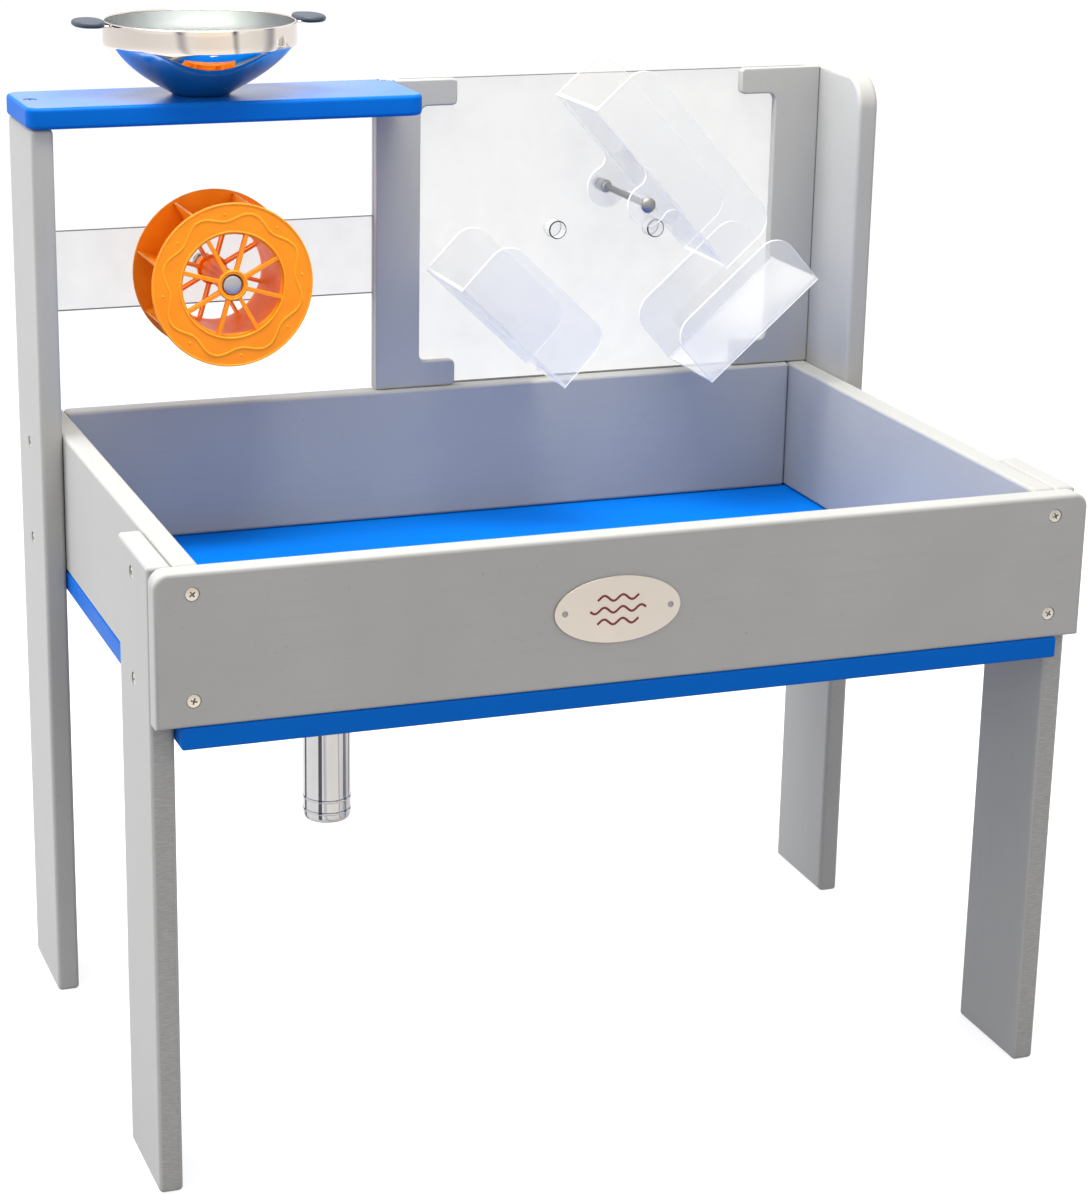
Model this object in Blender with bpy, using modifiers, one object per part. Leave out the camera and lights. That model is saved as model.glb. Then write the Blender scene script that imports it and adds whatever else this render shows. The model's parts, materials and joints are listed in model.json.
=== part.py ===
"""A children's sand and water table: a painted wooden tray on four legs, with a back frame that
holds a shelf, a water wheel, a clear panel with two chutes, and a trough that tips between them.

Metres, +Z up, +X to the right of a child who stands at the front, and -Y towards that child.
The origin is on the floor, under the middle of the whole table with its bowl, which hangs out
behind the shelf.
"""

import math

import bmesh
import bpy
from mathutils import Euler, Vector

# ---------------------------------------------------------------- driving dimensions
WIDTH = 0.770  # over the outer faces of the legs
DEPTH = 0.505  # from the apron's face to the back of the posts
TRAY_TOP = 0.512
TOP = 0.790  # top of the shelf, the brackets and the right post
GAP = 0.0003  # left between faces that touch
FIT = 0.00008  # left round a shaft that something turns on

BOARD = 0.020  # apron, side boards and back board
BOARD_HEIGHT = 0.120
FLOOR_THICK = 0.018
LEG_THICK = 0.019
LEG_WIDTH = 0.098
SHELF_THICK = 0.018
EDGE = 0.003  # rounding along the edges of every board

LEFT, RIGHT = -WIDTH / 2, WIDTH / 2
FRONT = -0.2667
BACK = FRONT + DEPTH
FLOOR_TOP = TRAY_TOP - BOARD_HEIGHT
FLOOR_BOTTOM = FLOOR_TOP - FLOOR_THICK
SHELF_BOTTOM = TOP - SHELF_THICK
SIDE_OUTER = RIGHT - LEG_THICK  # outer face of a side board
SIDE_INNER = SIDE_OUTER - BOARD

# back frame
BRACKET_THICK = 0.015
BRACKET_FRONT = BACK - BRACKET_THICK
BRACKET_ARM_HEIGHT = 0.0235
BRACKET_FILLET = 0.006
LEFT_BRACKET_X = (-0.0627, -0.0215)  # the upright's two edges
LEFT_ARM_END = 0.0125
RIGHT_BRACKET_X = (0.3218, SIDE_OUTER - GAP)
RIGHT_ARM_END = 0.2870
SHELF_STEP_X = -0.0460  # the shelf ends here, in a step of the left bracket
SHELF_OVERHANG = 0.003
SHELF_FRONT = FRONT + 0.402
WING_CORNER = 0.028

SHEET = 0.005  # clear panel and crossbar
SHEET_BACK = BACK - 0.0007
SHEET_FRONT = SHEET_BACK - SHEET
REBATE_FRONT = SHEET_FRONT - GAP
PANEL_X = (-0.0397, 0.3550)
BAR_X = (-0.3755, -0.0443)
BAR_HEIGHT = 0.070

# water wheel
WHEEL_X, WHEEL_Z = -0.2170, 0.6345
WHEEL_FRONT = FRONT + 0.403
WHEEL_WIDTH = 0.073
WHEEL_RADIUS = 0.0705
DRUM_RADIUS = 0.0455
DISC_THICK = 0.003
WHEEL_VANES = 8
WHEEL_PHASE = math.radians(28.5)
SPOKE_WIDTH = 0.0036
VANE_THICK = 0.0022
HUB_RADIUS = 0.0128
HUB_TUBE_RADIUS = 0.0105
HUB_RECESS = 0.0094
AXLE_RADIUS = 0.0050
AXLE_CAP = 0.0082

# tipping trough and chutes, all of bent clear sheet
CLEAR_WALL = 0.003
CHANNEL_DEPTH = 0.100
CHANNEL_HEIGHT = 0.062
CHANNEL_CORNER = 0.021
PIVOT_X, PIVOT_Z = 0.1560, 0.6880
TROUGH_LENGTH = 0.195
TROUGH_TILT = math.radians(48.3)  # at rest, on the right peg
OTHER_TILT = math.radians(46.35)  # tipped over, on the left peg
LUG_RADIUS = 0.019
LUG_FILLET = 0.010
LUG_DROP = 0.018  # from the trough's underside down to the pivot
CHANNEL_STANDOFF = 0.0100  # the trough and the chutes stand this far off the clear panel
CHANNEL_BACK = SHEET_FRONT - CHANNEL_STANDOFF
BOLT_RADIUS = 0.0030
BOLT_HEAD_RADIUS, BOLT_HEAD_HEIGHT = 0.0068, 0.0035
PEG_RADIUS = 0.0085
PEG_OFFSET = 0.048  # sideways from the pivot
PEG_LENGTH = 0.015
CHUTE_LENGTH = 0.135
# the middle of each chute's underside, and its turn about Y
CHUTES = {
    "left": (0.0325, 0.5740, math.radians(43.5)),
    "right": (0.2745, 0.5680, math.radians(-41.5)),
}
CHUTE_BLOCK = (0.080, 0.020)

# bowl, badge and drain
BOWL_X, BOWL_Y = -0.2295, FRONT + 0.455
BOWL_RADIUS = 0.0817
BOWL_HEIGHT = 0.0617
BOWL_BAND = 0.0175
BOWL_FOOT = 0.024
BOWL_BULGE = 0.0015
BOWL_WALL = 0.0014
GRIP_WIDTH, GRIP_REACH, GRIP_THICK = 0.045, 0.027, 0.005
GRIP_Z = 0.8515
BADGE_X, BADGE_Z = -0.0225, 0.4530
BADGE_SIZE = (0.104, 0.0535, 0.0020)
BADGE_RIVET_X = 0.0436
DRAIN_X, DRAIN_Y = -0.180, (FRONT + BACK) / 2
DRAIN_PIPE_RADIUS = 0.0204
DRAIN_PIPE_END = 0.2046
DRAIN_PIPE_BEADS = (0.0195, 0.0086)  # above its end
DRAIN_PIPE_WALL = 0.0014
DRAIN_TAIL_RADIUS = 0.0176
DRAIN_BORE_RADIUS = 0.0150
DRAIN_TAIL_LENGTH = 0.050  # of the threaded tail, down from the tray's floor
FLANGE_RADIUS, FLANGE_FLAT = 0.0320, 0.0215
FLANGE_THICK, FLANGE_RIM = 0.0022, 0.0012
DRAIN_SEAL = (0.0290, 0.0025)  # radius and thickness
DRAIN_NUT = (0.0285, 0.0085)  # radius over its eight corners, and thickness
PLUG_RADIUS = 0.0165
PLUG_DEPTH = 0.0080

# wood screws: head radius, head depth, shank radius, length
BOARD_SCREW = (0.0055, 0.0026, 0.0022, 0.044)
LEG_SCREW = (0.0050, 0.0026, 0.0020, 0.034)
PANEL_SCREW = (0.0040, 0.0020, 0.0016, 0.0120)
HEAD_RIM = 0.0006  # the upright rim of a countersunk head
BADGE_RIVET = (0.0025, 0.0010, 0.0010, 0.0140)
APRON_SCREW_HEIGHTS = (0.4950, 0.4125)
BRACKET_SCREWS = {"left": -0.0306, "right": 0.3384}
BRACKET_SCREW_HEIGHTS = (0.5600, 0.7450)
SHELF_SCREWS = {"left": (-0.3755, 0.455), "right": (-0.0543, 0.4975)}  # x, and y behind the apron's face

# where the legs' screws are: distance behind the apron's face, and heights
LEG_SCREWS = {
    ("front_left", 0.072): (0.493, 0.409),
    ("front_right", 0.072): (0.493, 0.409),
    ("rear_left", 0.457): (0.496, 0.410),
    ("rear_right", 0.457): (0.496, 0.410),
}

# ---------------------------------------------------------------- scene and materials
for old in list(bpy.data.objects):
    bpy.data.objects.remove(old)


def collection(name):
    made = bpy.data.collections.new(name)
    bpy.context.scene.collection.children.link(made)
    return made


PARTS = collection("sand_and_water_table")
CUTTERS = collection("cutters")


def material(name, color, roughness, metallic=0.0, alpha=1.0):
    made = bpy.data.materials.new(name)
    made.use_nodes = True
    shader = made.node_tree.nodes["Principled BSDF"]
    shader.inputs["Base Color"].default_value = (*color, 1.0)
    shader.inputs["Roughness"].default_value = roughness
    shader.inputs["Metallic"].default_value = metallic
    shader.inputs["Alpha"].default_value = alpha
    return made


GREY_PAINT = material("grey_paint", (0.38, 0.38, 0.38), 0.55)
BLUE_PAINT = material("blue_paint", (0.0, 0.11, 0.60), 0.45)
CLEAR = material("clear_acrylic", (0.93, 0.95, 0.97), 0.08, alpha=0.3)
ORANGE = material("orange_plastic", (1.0, 0.27, 0.02), 0.35)
STEEL = material("steel", (0.62, 0.62, 0.64), 0.25, 1.0)
MIRROR_STEEL = material("mirror_steel", (0.78, 0.78, 0.79), 0.06, 1.0)
CHROME = material("chrome", (0.80, 0.80, 0.82), 0.08, 1.0)
SCREW_METAL = material("screw_metal", (0.72, 0.68, 0.60), 0.30, 1.0)
GRIP_RUBBER = material("grip_rubber", (0.06, 0.06, 0.07), 0.6)
BADGE_ENAMEL = material("badge_enamel", (0.84, 0.78, 0.69), 0.35)


# ---------------------------------------------------------------- shapes
def add_object(name, mesh, paint, cutter=False):
    made = bpy.data.objects.new(name, mesh)
    if cutter:
        CUTTERS.objects.link(made)
        made.hide_render = True
        made.display_type = "WIRE"
    else:
        PARTS.objects.link(made)
        mesh.materials.append(paint)
    return made


def box(name, xs, ys, zs, paint=None, edge=0.0):
    """A block between the given limits; without a paint it is a cutter."""
    size = Vector((xs[1] - xs[0], ys[1] - ys[0], zs[1] - zs[0]))
    mesh = bpy.data.meshes.new(name)
    shape = bmesh.new()
    bmesh.ops.create_cube(shape, size=1)
    bmesh.ops.scale(shape, vec=size, verts=shape.verts)
    shape.to_mesh(mesh)
    shape.free()
    made = add_object(name, mesh, paint, cutter=paint is None)
    made.location = (sum(xs) / 2, sum(ys) / 2, sum(zs) / 2)
    if edge:
        round_edges(made, edge)
    return made


def round_edges(obj, radius, segments=2):
    bevel = obj.modifiers.new("rounded_edges", "BEVEL")
    bevel.width = radius
    bevel.segments = segments
    bevel.limit_method = "ANGLE"
    bevel.angle_limit = math.radians(40)
    obj.modifiers.new("flat_faces", "TRIANGULATE")


TURNS = {"XY": (0, 0, 0), "XZ": (math.pi / 2, 0, 0), "YZ": (math.pi / 2, 0, math.pi / 2)}


def plate(name, outlines, plane, middle, thickness, paint=None, edge=0.0):
    """A flat piece: closed outlines, the first outside and the others holes, in one of three planes."""
    curve = bpy.data.curves.new(name, "CURVE")
    curve.dimensions = "2D"
    curve.fill_mode = "BOTH"
    curve.extrude = thickness / 2
    for outline in outlines:
        spline = curve.splines.new("POLY")
        spline.points.add(len(outline) - 1)
        for point, (u, v) in zip(spline.points, outline):
            point.co = (u, v, 0, 1)
        spline.use_cyclic_u = True
    guide = bpy.data.objects.new(name + "_outline", curve)
    CUTTERS.objects.link(guide)
    mesh = bpy.data.meshes.new_from_object(guide.evaluated_get(bpy.context.evaluated_depsgraph_get()))
    bpy.data.objects.remove(guide)
    shape = bmesh.new()
    shape.from_mesh(mesh)
    bmesh.ops.remove_doubles(shape, verts=shape.verts, dist=1e-5)
    bmesh.ops.recalc_face_normals(shape, faces=shape.faces)
    shape.to_mesh(mesh)
    shape.free()
    made = add_object(name, mesh, paint, cutter=paint is None)
    made.location = middle
    made.rotation_euler = TURNS[plane]
    if edge:
        round_edges(made, edge)
    return made


def turned(name, profile, foot, axis, paint=None, steps=24, ring=False):
    """A profile of (radius, height) points, listed down its outer side, turned about axis from foot."""
    mesh = bpy.data.meshes.new(name)
    shape = bmesh.new()
    rim = [shape.verts.new((radius, 0, height)) for radius, height in profile]
    for a, b in zip(rim, rim[1:]):
        shape.edges.new((a, b))
    if ring:
        shape.edges.new((rim[-1], rim[0]))
    shape.to_mesh(mesh)
    shape.free()
    made = add_object(name, mesh, paint, cutter=paint is None)
    screw = made.modifiers.new("turn", "SCREW")
    screw.steps = screw.render_steps = steps
    screw.use_merge_vertices = True
    screw.merge_threshold = 1e-5
    made.location = foot
    made.rotation_euler = Vector(axis).to_track_quat("Z", "Y").to_euler()
    return made


def cut(obj, cutter):
    boolean = obj.modifiers.new("cut_" + cutter.name, "BOOLEAN")
    boolean.operation = "DIFFERENCE"
    boolean.object = cutter


def arc(centre, radius, start, end, steps):
    """Points on an arc from start to end, in degrees, both ends included."""
    angles = [math.radians(start + (end - start) * i / steps) for i in range(steps + 1)]
    return [(centre[0] + radius * math.cos(a), centre[1] + radius * math.sin(a)) for a in angles]


def circle(centre, radius, steps):
    return arc(centre, radius, 0, 360, steps)[:-1]


def rounded_box(us, vs, radii, steps=5):
    """A rectangle's outline, anticlockwise from its lower left corner, with a radius at each corner."""
    corners = [
        (us[0], vs[0], 1, 1, 180),
        (us[1], vs[0], -1, 1, 270),
        (us[1], vs[1], -1, -1, 0),
        (us[0], vs[1], 1, -1, 90),
    ]
    points = []
    for (u, v, du, dv, start), radius in zip(corners, radii):
        if radius:
            points += arc((u + du * radius, v + dv * radius), radius, start, start + 90, steps)
        else:
            points.append((u, v))
    return points


def wood_screw(name, head, inward, sizes, boards, paint=SCREW_METAL, countersunk=True):
    """A screw with its head's outer face at head, and a hole for it in each board that it passes through."""
    head_radius, head_depth, shank, length = sizes
    outward = -Vector(inward)
    foot = Vector(head) + Vector(inward) * length
    if countersunk:
        top, neck = length, length - head_depth
    else:
        top, neck = length + head_depth, length
    tip = 3 * shank
    profile = [(0, top), (head_radius, top)]
    if countersunk:
        profile.append((head_radius, top - HEAD_RIM))
    else:
        profile.append((head_radius, neck))
    profile += [(shank, neck), (shank, tip), (shank * 0.2, 0), (0, 0)]
    made = turned(name, profile, foot, outward, paint, steps=12)
    if countersunk:
        seat, throat = top - HEAD_RIM, neck - GAP
    else:
        seat, throat = neck, neck
    hole = [(0, top + 0.01), (head_radius + GAP, top + 0.01), (head_radius + GAP, seat)]
    hole += [(shank + GAP, throat), (shank + GAP, -2 * GAP), (0, -2 * GAP)]
    cutter = turned(name + "_hole", hole, foot, outward, steps=12)
    for board in boards:
        cut(board, cutter)
    return made


# ---------------------------------------------------------------- tray, legs and posts
front_ys = (FRONT, FRONT + BOARD)
behind_apron = FRONT + BOARD + GAP

apron = plate(
    "front_apron",
    [rounded_box((LEFT, RIGHT), (FLOOR_TOP, TRAY_TOP), (0, 0, 0.010, 0.010))],
    "XZ",
    (0, sum(front_ys) / 2, 0),
    BOARD,
    GREY_PAINT,
    EDGE,
)
back_board = box(
    "back_board",
    (-SIDE_INNER + GAP, SIDE_INNER - GAP),
    (BACK - BOARD, BACK),
    (FLOOR_TOP, TRAY_TOP),
    GREY_PAINT,
    EDGE,
)
side_boards = {}
for side, sign in (("left", -1), ("right", 1)):
    xs = sorted((sign * SIDE_INNER, sign * (SIDE_OUTER - GAP)))
    side_boards[side] = box(
        side + "_side_board", xs, (behind_apron, BACK), (FLOOR_TOP, TRAY_TOP), GREY_PAINT, EDGE
    )

base_panel = box(
    "base_panel",
    (-SIDE_OUTER + GAP, SIDE_OUTER - GAP),
    (FRONT + 0.0005, BACK),
    (FLOOR_BOTTOM, FLOOR_TOP - GAP),
    BLUE_PAINT,
    0.002,
)

legs = {}
for side, sign in (("left", -1), ("right", 1)):
    xs = sorted((sign * SIDE_OUTER, sign * RIGHT))
    legs["front_" + side] = box(
        f"front_{side}_leg", xs, (behind_apron, behind_apron + LEG_WIDTH), (0, TRAY_TOP), GREY_PAINT, EDGE
    )
legs["rear_left"] = box(
    "rear_left_post", (LEFT, -SIDE_OUTER), (BACK - LEG_WIDTH, BACK), (0, SHELF_BOTTOM - GAP), GREY_PAINT, EDGE
)
legs["rear_right"] = plate(
    "rear_right_post",
    [rounded_box((BACK - LEG_WIDTH, BACK), (0, TOP), (0, 0, 0, WING_CORNER))],
    "YZ",
    ((SIDE_OUTER + RIGHT) / 2, 0, 0),
    LEG_THICK,
    GREY_PAINT,
    EDGE,
)

# ---------------------------------------------------------------- shelf and brackets
shelf = plate(
    "shelf",
    [rounded_box((LEFT - SHELF_OVERHANG, SHELF_STEP_X - GAP), (SHELF_FRONT, BACK), (0.012,) * 4)],
    "XY",
    (0, 0, SHELF_BOTTOM + SHELF_THICK / 2),
    SHELF_THICK,
    BLUE_PAINT,
    EDGE,
)


def bracket_outline(upright, arm_end):
    """A C outline with its arms towards arm_end, anticlockwise when the arms point to the right."""
    outer, inner = upright
    bottom, low, high = TRAY_TOP + GAP, TRAY_TOP + BRACKET_ARM_HEIGHT, TOP - BRACKET_ARM_HEIGHT
    turn = 1 if arm_end > inner else -1
    fillet_x = inner + turn * BRACKET_FILLET
    if turn > 0:
        low_fillet = arc((fillet_x, low + BRACKET_FILLET), BRACKET_FILLET, 270, 180, 4)
        high_fillet = arc((fillet_x, high - BRACKET_FILLET), BRACKET_FILLET, 180, 90, 4)
    else:
        low_fillet = arc((fillet_x, low + BRACKET_FILLET), BRACKET_FILLET, 270, 360, 4)
        high_fillet = arc((fillet_x, high - BRACKET_FILLET), BRACKET_FILLET, 0, 90, 4)
    rim = [(outer, bottom), (arm_end, bottom), (arm_end, low)]
    return rim + low_fillet + high_fillet + [(arm_end, high), (arm_end, TOP)]


left_outline = bracket_outline(LEFT_BRACKET_X, LEFT_ARM_END)
left_outline += [
    (SHELF_STEP_X, TOP),
    (SHELF_STEP_X, SHELF_BOTTOM - GAP),
    (LEFT_BRACKET_X[0], SHELF_BOTTOM - GAP),
]
bracket_mid = (0, (BRACKET_FRONT + BACK) / 2, 0)
left_bracket = plate("left_bracket", [left_outline], "XZ", bracket_mid, BRACKET_THICK, GREY_PAINT, 0.0015)

right_outline = bracket_outline(RIGHT_BRACKET_X[::-1], RIGHT_ARM_END) + [(RIGHT_BRACKET_X[1], TOP)]
right_bracket = plate("right_bracket", [right_outline], "XZ", bracket_mid, BRACKET_THICK, GREY_PAINT, 0.0015)

# The clear sheets lie in rebates in the back of the brackets and of the left post.
bar_zs = (WHEEL_Z - BAR_HEIGHT / 2, WHEEL_Z + BAR_HEIGHT / 2)
rebate_ys = (REBATE_FRONT, BACK + 0.01)
panel_rebate = box(
    "panel_rebate", (PANEL_X[0] - GAP, PANEL_X[1] + GAP), rebate_ys, (TRAY_TOP - 0.01, TOP + 0.01)
)
bar_rebate = box(
    "bar_rebate", (BAR_X[0] - GAP, BAR_X[1] + GAP), rebate_ys, (bar_zs[0] - GAP, bar_zs[1] + GAP)
)
cut(left_bracket, panel_rebate)
cut(left_bracket, bar_rebate)
cut(right_bracket, panel_rebate)
cut(legs["rear_left"], bar_rebate)

panel = box(
    "clear_back_panel", PANEL_X, (SHEET_FRONT, SHEET_BACK), (TRAY_TOP + GAP, TOP - 0.0005), CLEAR, 0.0005
)
crossbar = box("clear_crossbar", BAR_X, (SHEET_FRONT, SHEET_BACK), bar_zs, CLEAR, 0.0005)


# ---------------------------------------------------------------- chutes, trough and pegs
def channel(name, side, section, length, back_y):
    """An open channel: its outline from the side, cut to its cross section. Its middle is the origin."""
    made = plate(name, [side], "XZ", (0, 0, 0), CHANNEL_DEPTH + 0.01, CLEAR)
    core = plate(name + "_section", [section], "YZ", (0, 0, 0), length + 0.01)
    boolean = made.modifiers.new("section", "BOOLEAN")
    boolean.operation = "INTERSECT"
    boolean.object = core
    place = bpy.data.objects.new(name + "_place", None)
    PARTS.objects.link(place)
    place.location.y = back_y - CHANNEL_DEPTH / 2
    made.parent = core.parent = place
    return made, place


def side_outline(length, bottom):
    half = length / 2
    return rounded_box((-half, half), (bottom, CHANNEL_HEIGHT), (0, 0, CHANNEL_CORNER, CHANNEL_CORNER), 6)


outer_y = CHANNEL_DEPTH / 2
inner_y = outer_y - CLEAR_WALL
above = CHANNEL_HEIGHT + 0.01
chute_section = [(-outer_y, 0), (outer_y, 0), (outer_y, above), (inner_y, above)]
chute_section += [(inner_y, CLEAR_WALL), (-inner_y, CLEAR_WALL), (-inner_y, above), (-outer_y, above)]

block_length, block_height = CHUTE_BLOCK
for side, (x, z, turn) in CHUTES.items():
    outline = side_outline(CHUTE_LENGTH, -0.01)
    chute, place = channel(side + "_chute", outline, chute_section, CHUTE_LENGTH, CHANNEL_BACK)
    place.location.x = x
    place.location.z = z
    place.rotation_euler = Euler((0, turn, 0))
    block = box(
        side + "_chute_block",
        (-block_length / 2, block_length / 2),
        (outer_y + GAP, outer_y + CHANNEL_STANDOFF - GAP),
        (0.004, 0.004 + block_height),
        CLEAR,
    )
    block.parent = place

# The trough's walls go on below its floor, as lugs for the bolt.
floor_low, floor_high = 0.0005, 0.0005 + CLEAR_WALL
below = -LUG_DROP - LUG_RADIUS - 0.01
trough_section = [(-outer_y, below), (-inner_y, below), (-inner_y, floor_low), (inner_y, floor_low)]
trough_section += [(inner_y, below), (outer_y, below), (outer_y, above), (inner_y, above)]
trough_section += [(inner_y, floor_high), (-inner_y, floor_high), (-inner_y, above), (-outer_y, above)]


def trough_side():
    """The side of the trough, with a round lug under its middle that blends in through fillets."""
    reach = math.sqrt((LUG_RADIUS + LUG_FILLET) ** 2 - (LUG_DROP - LUG_FILLET) ** 2)
    lean = math.degrees(math.atan2(LUG_DROP - LUG_FILLET, reach))
    lug = arc((-reach, -LUG_FILLET), LUG_FILLET, 90, -lean, 5)[:-1]
    lug += arc((0, -LUG_DROP), LUG_RADIUS, 180 - lean, 360 + lean, 16)
    lug += arc((reach, -LUG_FILLET), LUG_FILLET, 180 + lean, 90, 5)[1:]
    outline = side_outline(TROUGH_LENGTH, 0)
    return outline[:1] + lug + outline[1:]


trough, trough_place = channel("tipping_trough", trough_side(), trough_section, TROUGH_LENGTH, CHANNEL_BACK)
under_pivot = Vector((math.sin(TROUGH_TILT), 0, math.cos(TROUGH_TILT))) * LUG_DROP
trough_place.location.x = PIVOT_X + under_pivot.x
trough_place.location.z = PIVOT_Z + under_pivot.z
trough_place.rotation_euler = Euler((0, TROUGH_TILT, 0))

# Each peg stands where it meets the underside of the trough at the end of its tilt.
peg_profile = [
    (0, PEG_LENGTH),
    (PEG_RADIUS - 0.001, PEG_LENGTH),
    (PEG_RADIUS, PEG_LENGTH - 0.001),
    (PEG_RADIUS, 0),
    (0, 0),
]
for side, sign, tilt in (("left", -1, OTHER_TILT), ("right", 1, TROUGH_TILT)):
    below_pivot = (PEG_OFFSET * math.sin(tilt) - LUG_DROP + PEG_RADIUS + GAP) / math.cos(tilt)
    foot = (PIVOT_X + sign * PEG_OFFSET, SHEET_FRONT - GAP, PIVOT_Z - below_pivot)
    turned("stop_peg_" + side, peg_profile, foot, (0, -1, 0), CLEAR, 20)

# ---------------------------------------------------------------- the trough's bolt
trough_front = CHANNEL_BACK - CHANNEL_DEPTH
bolt_tip = BACK + 0.0075
bolt_length = bolt_tip - (trough_front - GAP)
bolt_profile = [
    (0, bolt_length + BOLT_HEAD_HEIGHT),
    (BOLT_HEAD_RADIUS - 0.0023, bolt_length + BOLT_HEAD_HEIGHT),
    (BOLT_HEAD_RADIUS, bolt_length + 0.0012),
    (BOLT_HEAD_RADIUS, bolt_length),
    (BOLT_RADIUS, bolt_length),
    (BOLT_RADIUS, 0),
    (0, 0),
]
turned("trough_bolt", bolt_profile, (PIVOT_X, bolt_tip, PIVOT_Z), (0, -1, 0), STEEL, 20)
for bored, clearance in ((trough, FIT), (panel, GAP)):
    bore = BOLT_RADIUS + clearance
    bolt_hole = turned(
        bored.name + "_bolt_hole",
        [(0, 0.15), (bore, 0.15), (bore, 0), (0, 0)],
        (PIVOT_X, BACK + 0.01, PIVOT_Z),
        (0, -1, 0),
        steps=20,
    )
    cut(bored, bolt_hole)


def sleeve(name, inner, outer, near_y, far_y, centre, paint, steps=24):
    """A plain ring along Y between two distances from the front."""
    length = far_y - near_y
    profile = [(outer, length), (outer, 0), (inner, 0), (inner, length)]
    return turned(name, profile, (centre[0], far_y, centre[1]), (0, -1, 0), paint, steps, ring=True)


def hex_nut(name, bore, radius, thickness, centre):
    """A nut against the back of the clear sheets."""
    outlines = [circle(centre, radius, 6), circle(centre, bore, 20)]
    plate(name, outlines, "XZ", (0, SHEET_BACK + GAP + thickness / 2, 0), thickness, STEEL)


pivot = (PIVOT_X, PIVOT_Z)
nut_bore = BOLT_RADIUS + GAP
sleeve("trough_spacer", nut_bore, 0.0060, CHANNEL_BACK + GAP, SHEET_FRONT - GAP, pivot, STEEL, 20)
hex_nut("trough_nut", nut_bore, 0.0058, 0.0052, pivot)

# ---------------------------------------------------------------- water wheel
wheel_place = bpy.data.objects.new("wheel_place", None)
PARTS.objects.link(wheel_place)
wheel_place.location = (WHEEL_X, WHEEL_FRONT, WHEEL_Z)
VANE_PITCH = 2 * math.pi / WHEEL_VANES


def window(index):
    """The opening between two spokes of a disc."""
    a, b = (WHEEL_PHASE + VANE_PITCH * (index + k) for k in (0, 1))
    points = []
    for radius, first, last in ((HUB_RADIUS, b, a), (DRUM_RADIUS, a, b)):
        turn = math.copysign(math.asin(SPOKE_WIDTH / 2 / radius), last - first)
        points += arc((0, 0), radius, math.degrees(first + turn), math.degrees(last - turn), 5)
    return points


def wheel_disc(name, y, bore):
    outlines = [circle((0, 0), WHEEL_RADIUS, 48), bore]
    outlines += [window(i) for i in range(WHEEL_VANES)]
    disc = plate(name, outlines, "XZ", (0, y + DISC_THICK / 2, 0), DISC_THICK, ORANGE)
    disc.parent = wheel_place
    return disc


def wheel_drum():
    """A ring with flat vanes that reach out to the discs' edge."""
    inner, outer = DRUM_RADIUS - VANE_THICK, WHEEL_RADIUS - 0.0015
    points = []
    for i in range(WHEEL_VANES):
        middle = WHEEL_PHASE + VANE_PITCH * i
        root, tip = (math.asin(VANE_THICK / 2 / r) for r in (DRUM_RADIUS, outer))
        for corner in (middle - tip, middle + tip):
            points.append((outer * math.cos(corner), outer * math.sin(corner)))
        first, last = middle + root, middle + VANE_PITCH - root
        points += arc((0, 0), DRUM_RADIUS, math.degrees(first), math.degrees(last), 5)
    width = WHEEL_WIDTH - 2 * (DISC_THICK + GAP)
    outlines = [points, circle((0, 0), inner, 40)]
    drum = plate("wheel_drum", outlines, "XZ", (0, WHEEL_WIDTH / 2, 0), width, ORANGE)
    drum.parent = wheel_place


hub_bore = AXLE_RADIUS + FIT
axle_clearance = AXLE_RADIUS + GAP
recess_depth = 0.004
wheel_disc("wheel_front_disc", 0, circle((0, 0), HUB_RECESS, 24))
wheel_disc("wheel_rear_disc", WHEEL_WIDTH - DISC_THICK, circle((0, 0), hub_bore, 24))
wheel_drum()
hub_length = WHEEL_WIDTH - 2 * (DISC_THICK + GAP)
hub_profile = [
    (HUB_TUBE_RADIUS, hub_length),
    (HUB_TUBE_RADIUS, 0),
    (hub_bore, 0),
    (hub_bore, hub_length - recess_depth),
    (HUB_RECESS - 0.0004, hub_length - recess_depth),
    (HUB_RECESS - 0.0004, hub_length),
]
hub = turned("wheel_hub", hub_profile, (0, WHEEL_WIDTH - DISC_THICK - GAP, 0), (0, -1, 0), ORANGE, 24, ring=True)
hub.parent = wheel_place

wheel_centre = (WHEEL_X, WHEEL_Z)
axle_tip = BACK + 0.0080
axle_end = WHEEL_FRONT + 0.0008
cap_back = WHEEL_FRONT + DISC_THICK + GAP + recess_depth - 2 * GAP
axle_length = axle_tip - axle_end
cap_depth = cap_back - axle_end
axle_profile = [
    (0, axle_length),
    (AXLE_CAP - 0.0006, axle_length),
    (AXLE_CAP, axle_length - 0.0006),
    (AXLE_CAP, axle_length - cap_depth),
    (AXLE_RADIUS, axle_length - cap_depth),
    (AXLE_RADIUS, 0),
    (0, 0),
]
turned("wheel_axle", axle_profile, (WHEEL_X, axle_tip, WHEEL_Z), (0, -1, 0), STEEL, 24)
axle_hole = turned(
    "axle_hole",
    [(0, 0.03), (axle_clearance, 0.03), (axle_clearance, 0), (0, 0)],
    (WHEEL_X, BACK + 0.012, WHEEL_Z),
    (0, -1, 0),
)
cut(crossbar, axle_hole)
wheel_back = WHEEL_FRONT + WHEEL_WIDTH
sleeve("wheel_spacer", axle_clearance, 0.0085, wheel_back + GAP, SHEET_FRONT - GAP, wheel_centre, ORANGE)
hex_nut("wheel_nut", axle_clearance, 0.0092, 0.0062, wheel_centre)


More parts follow.
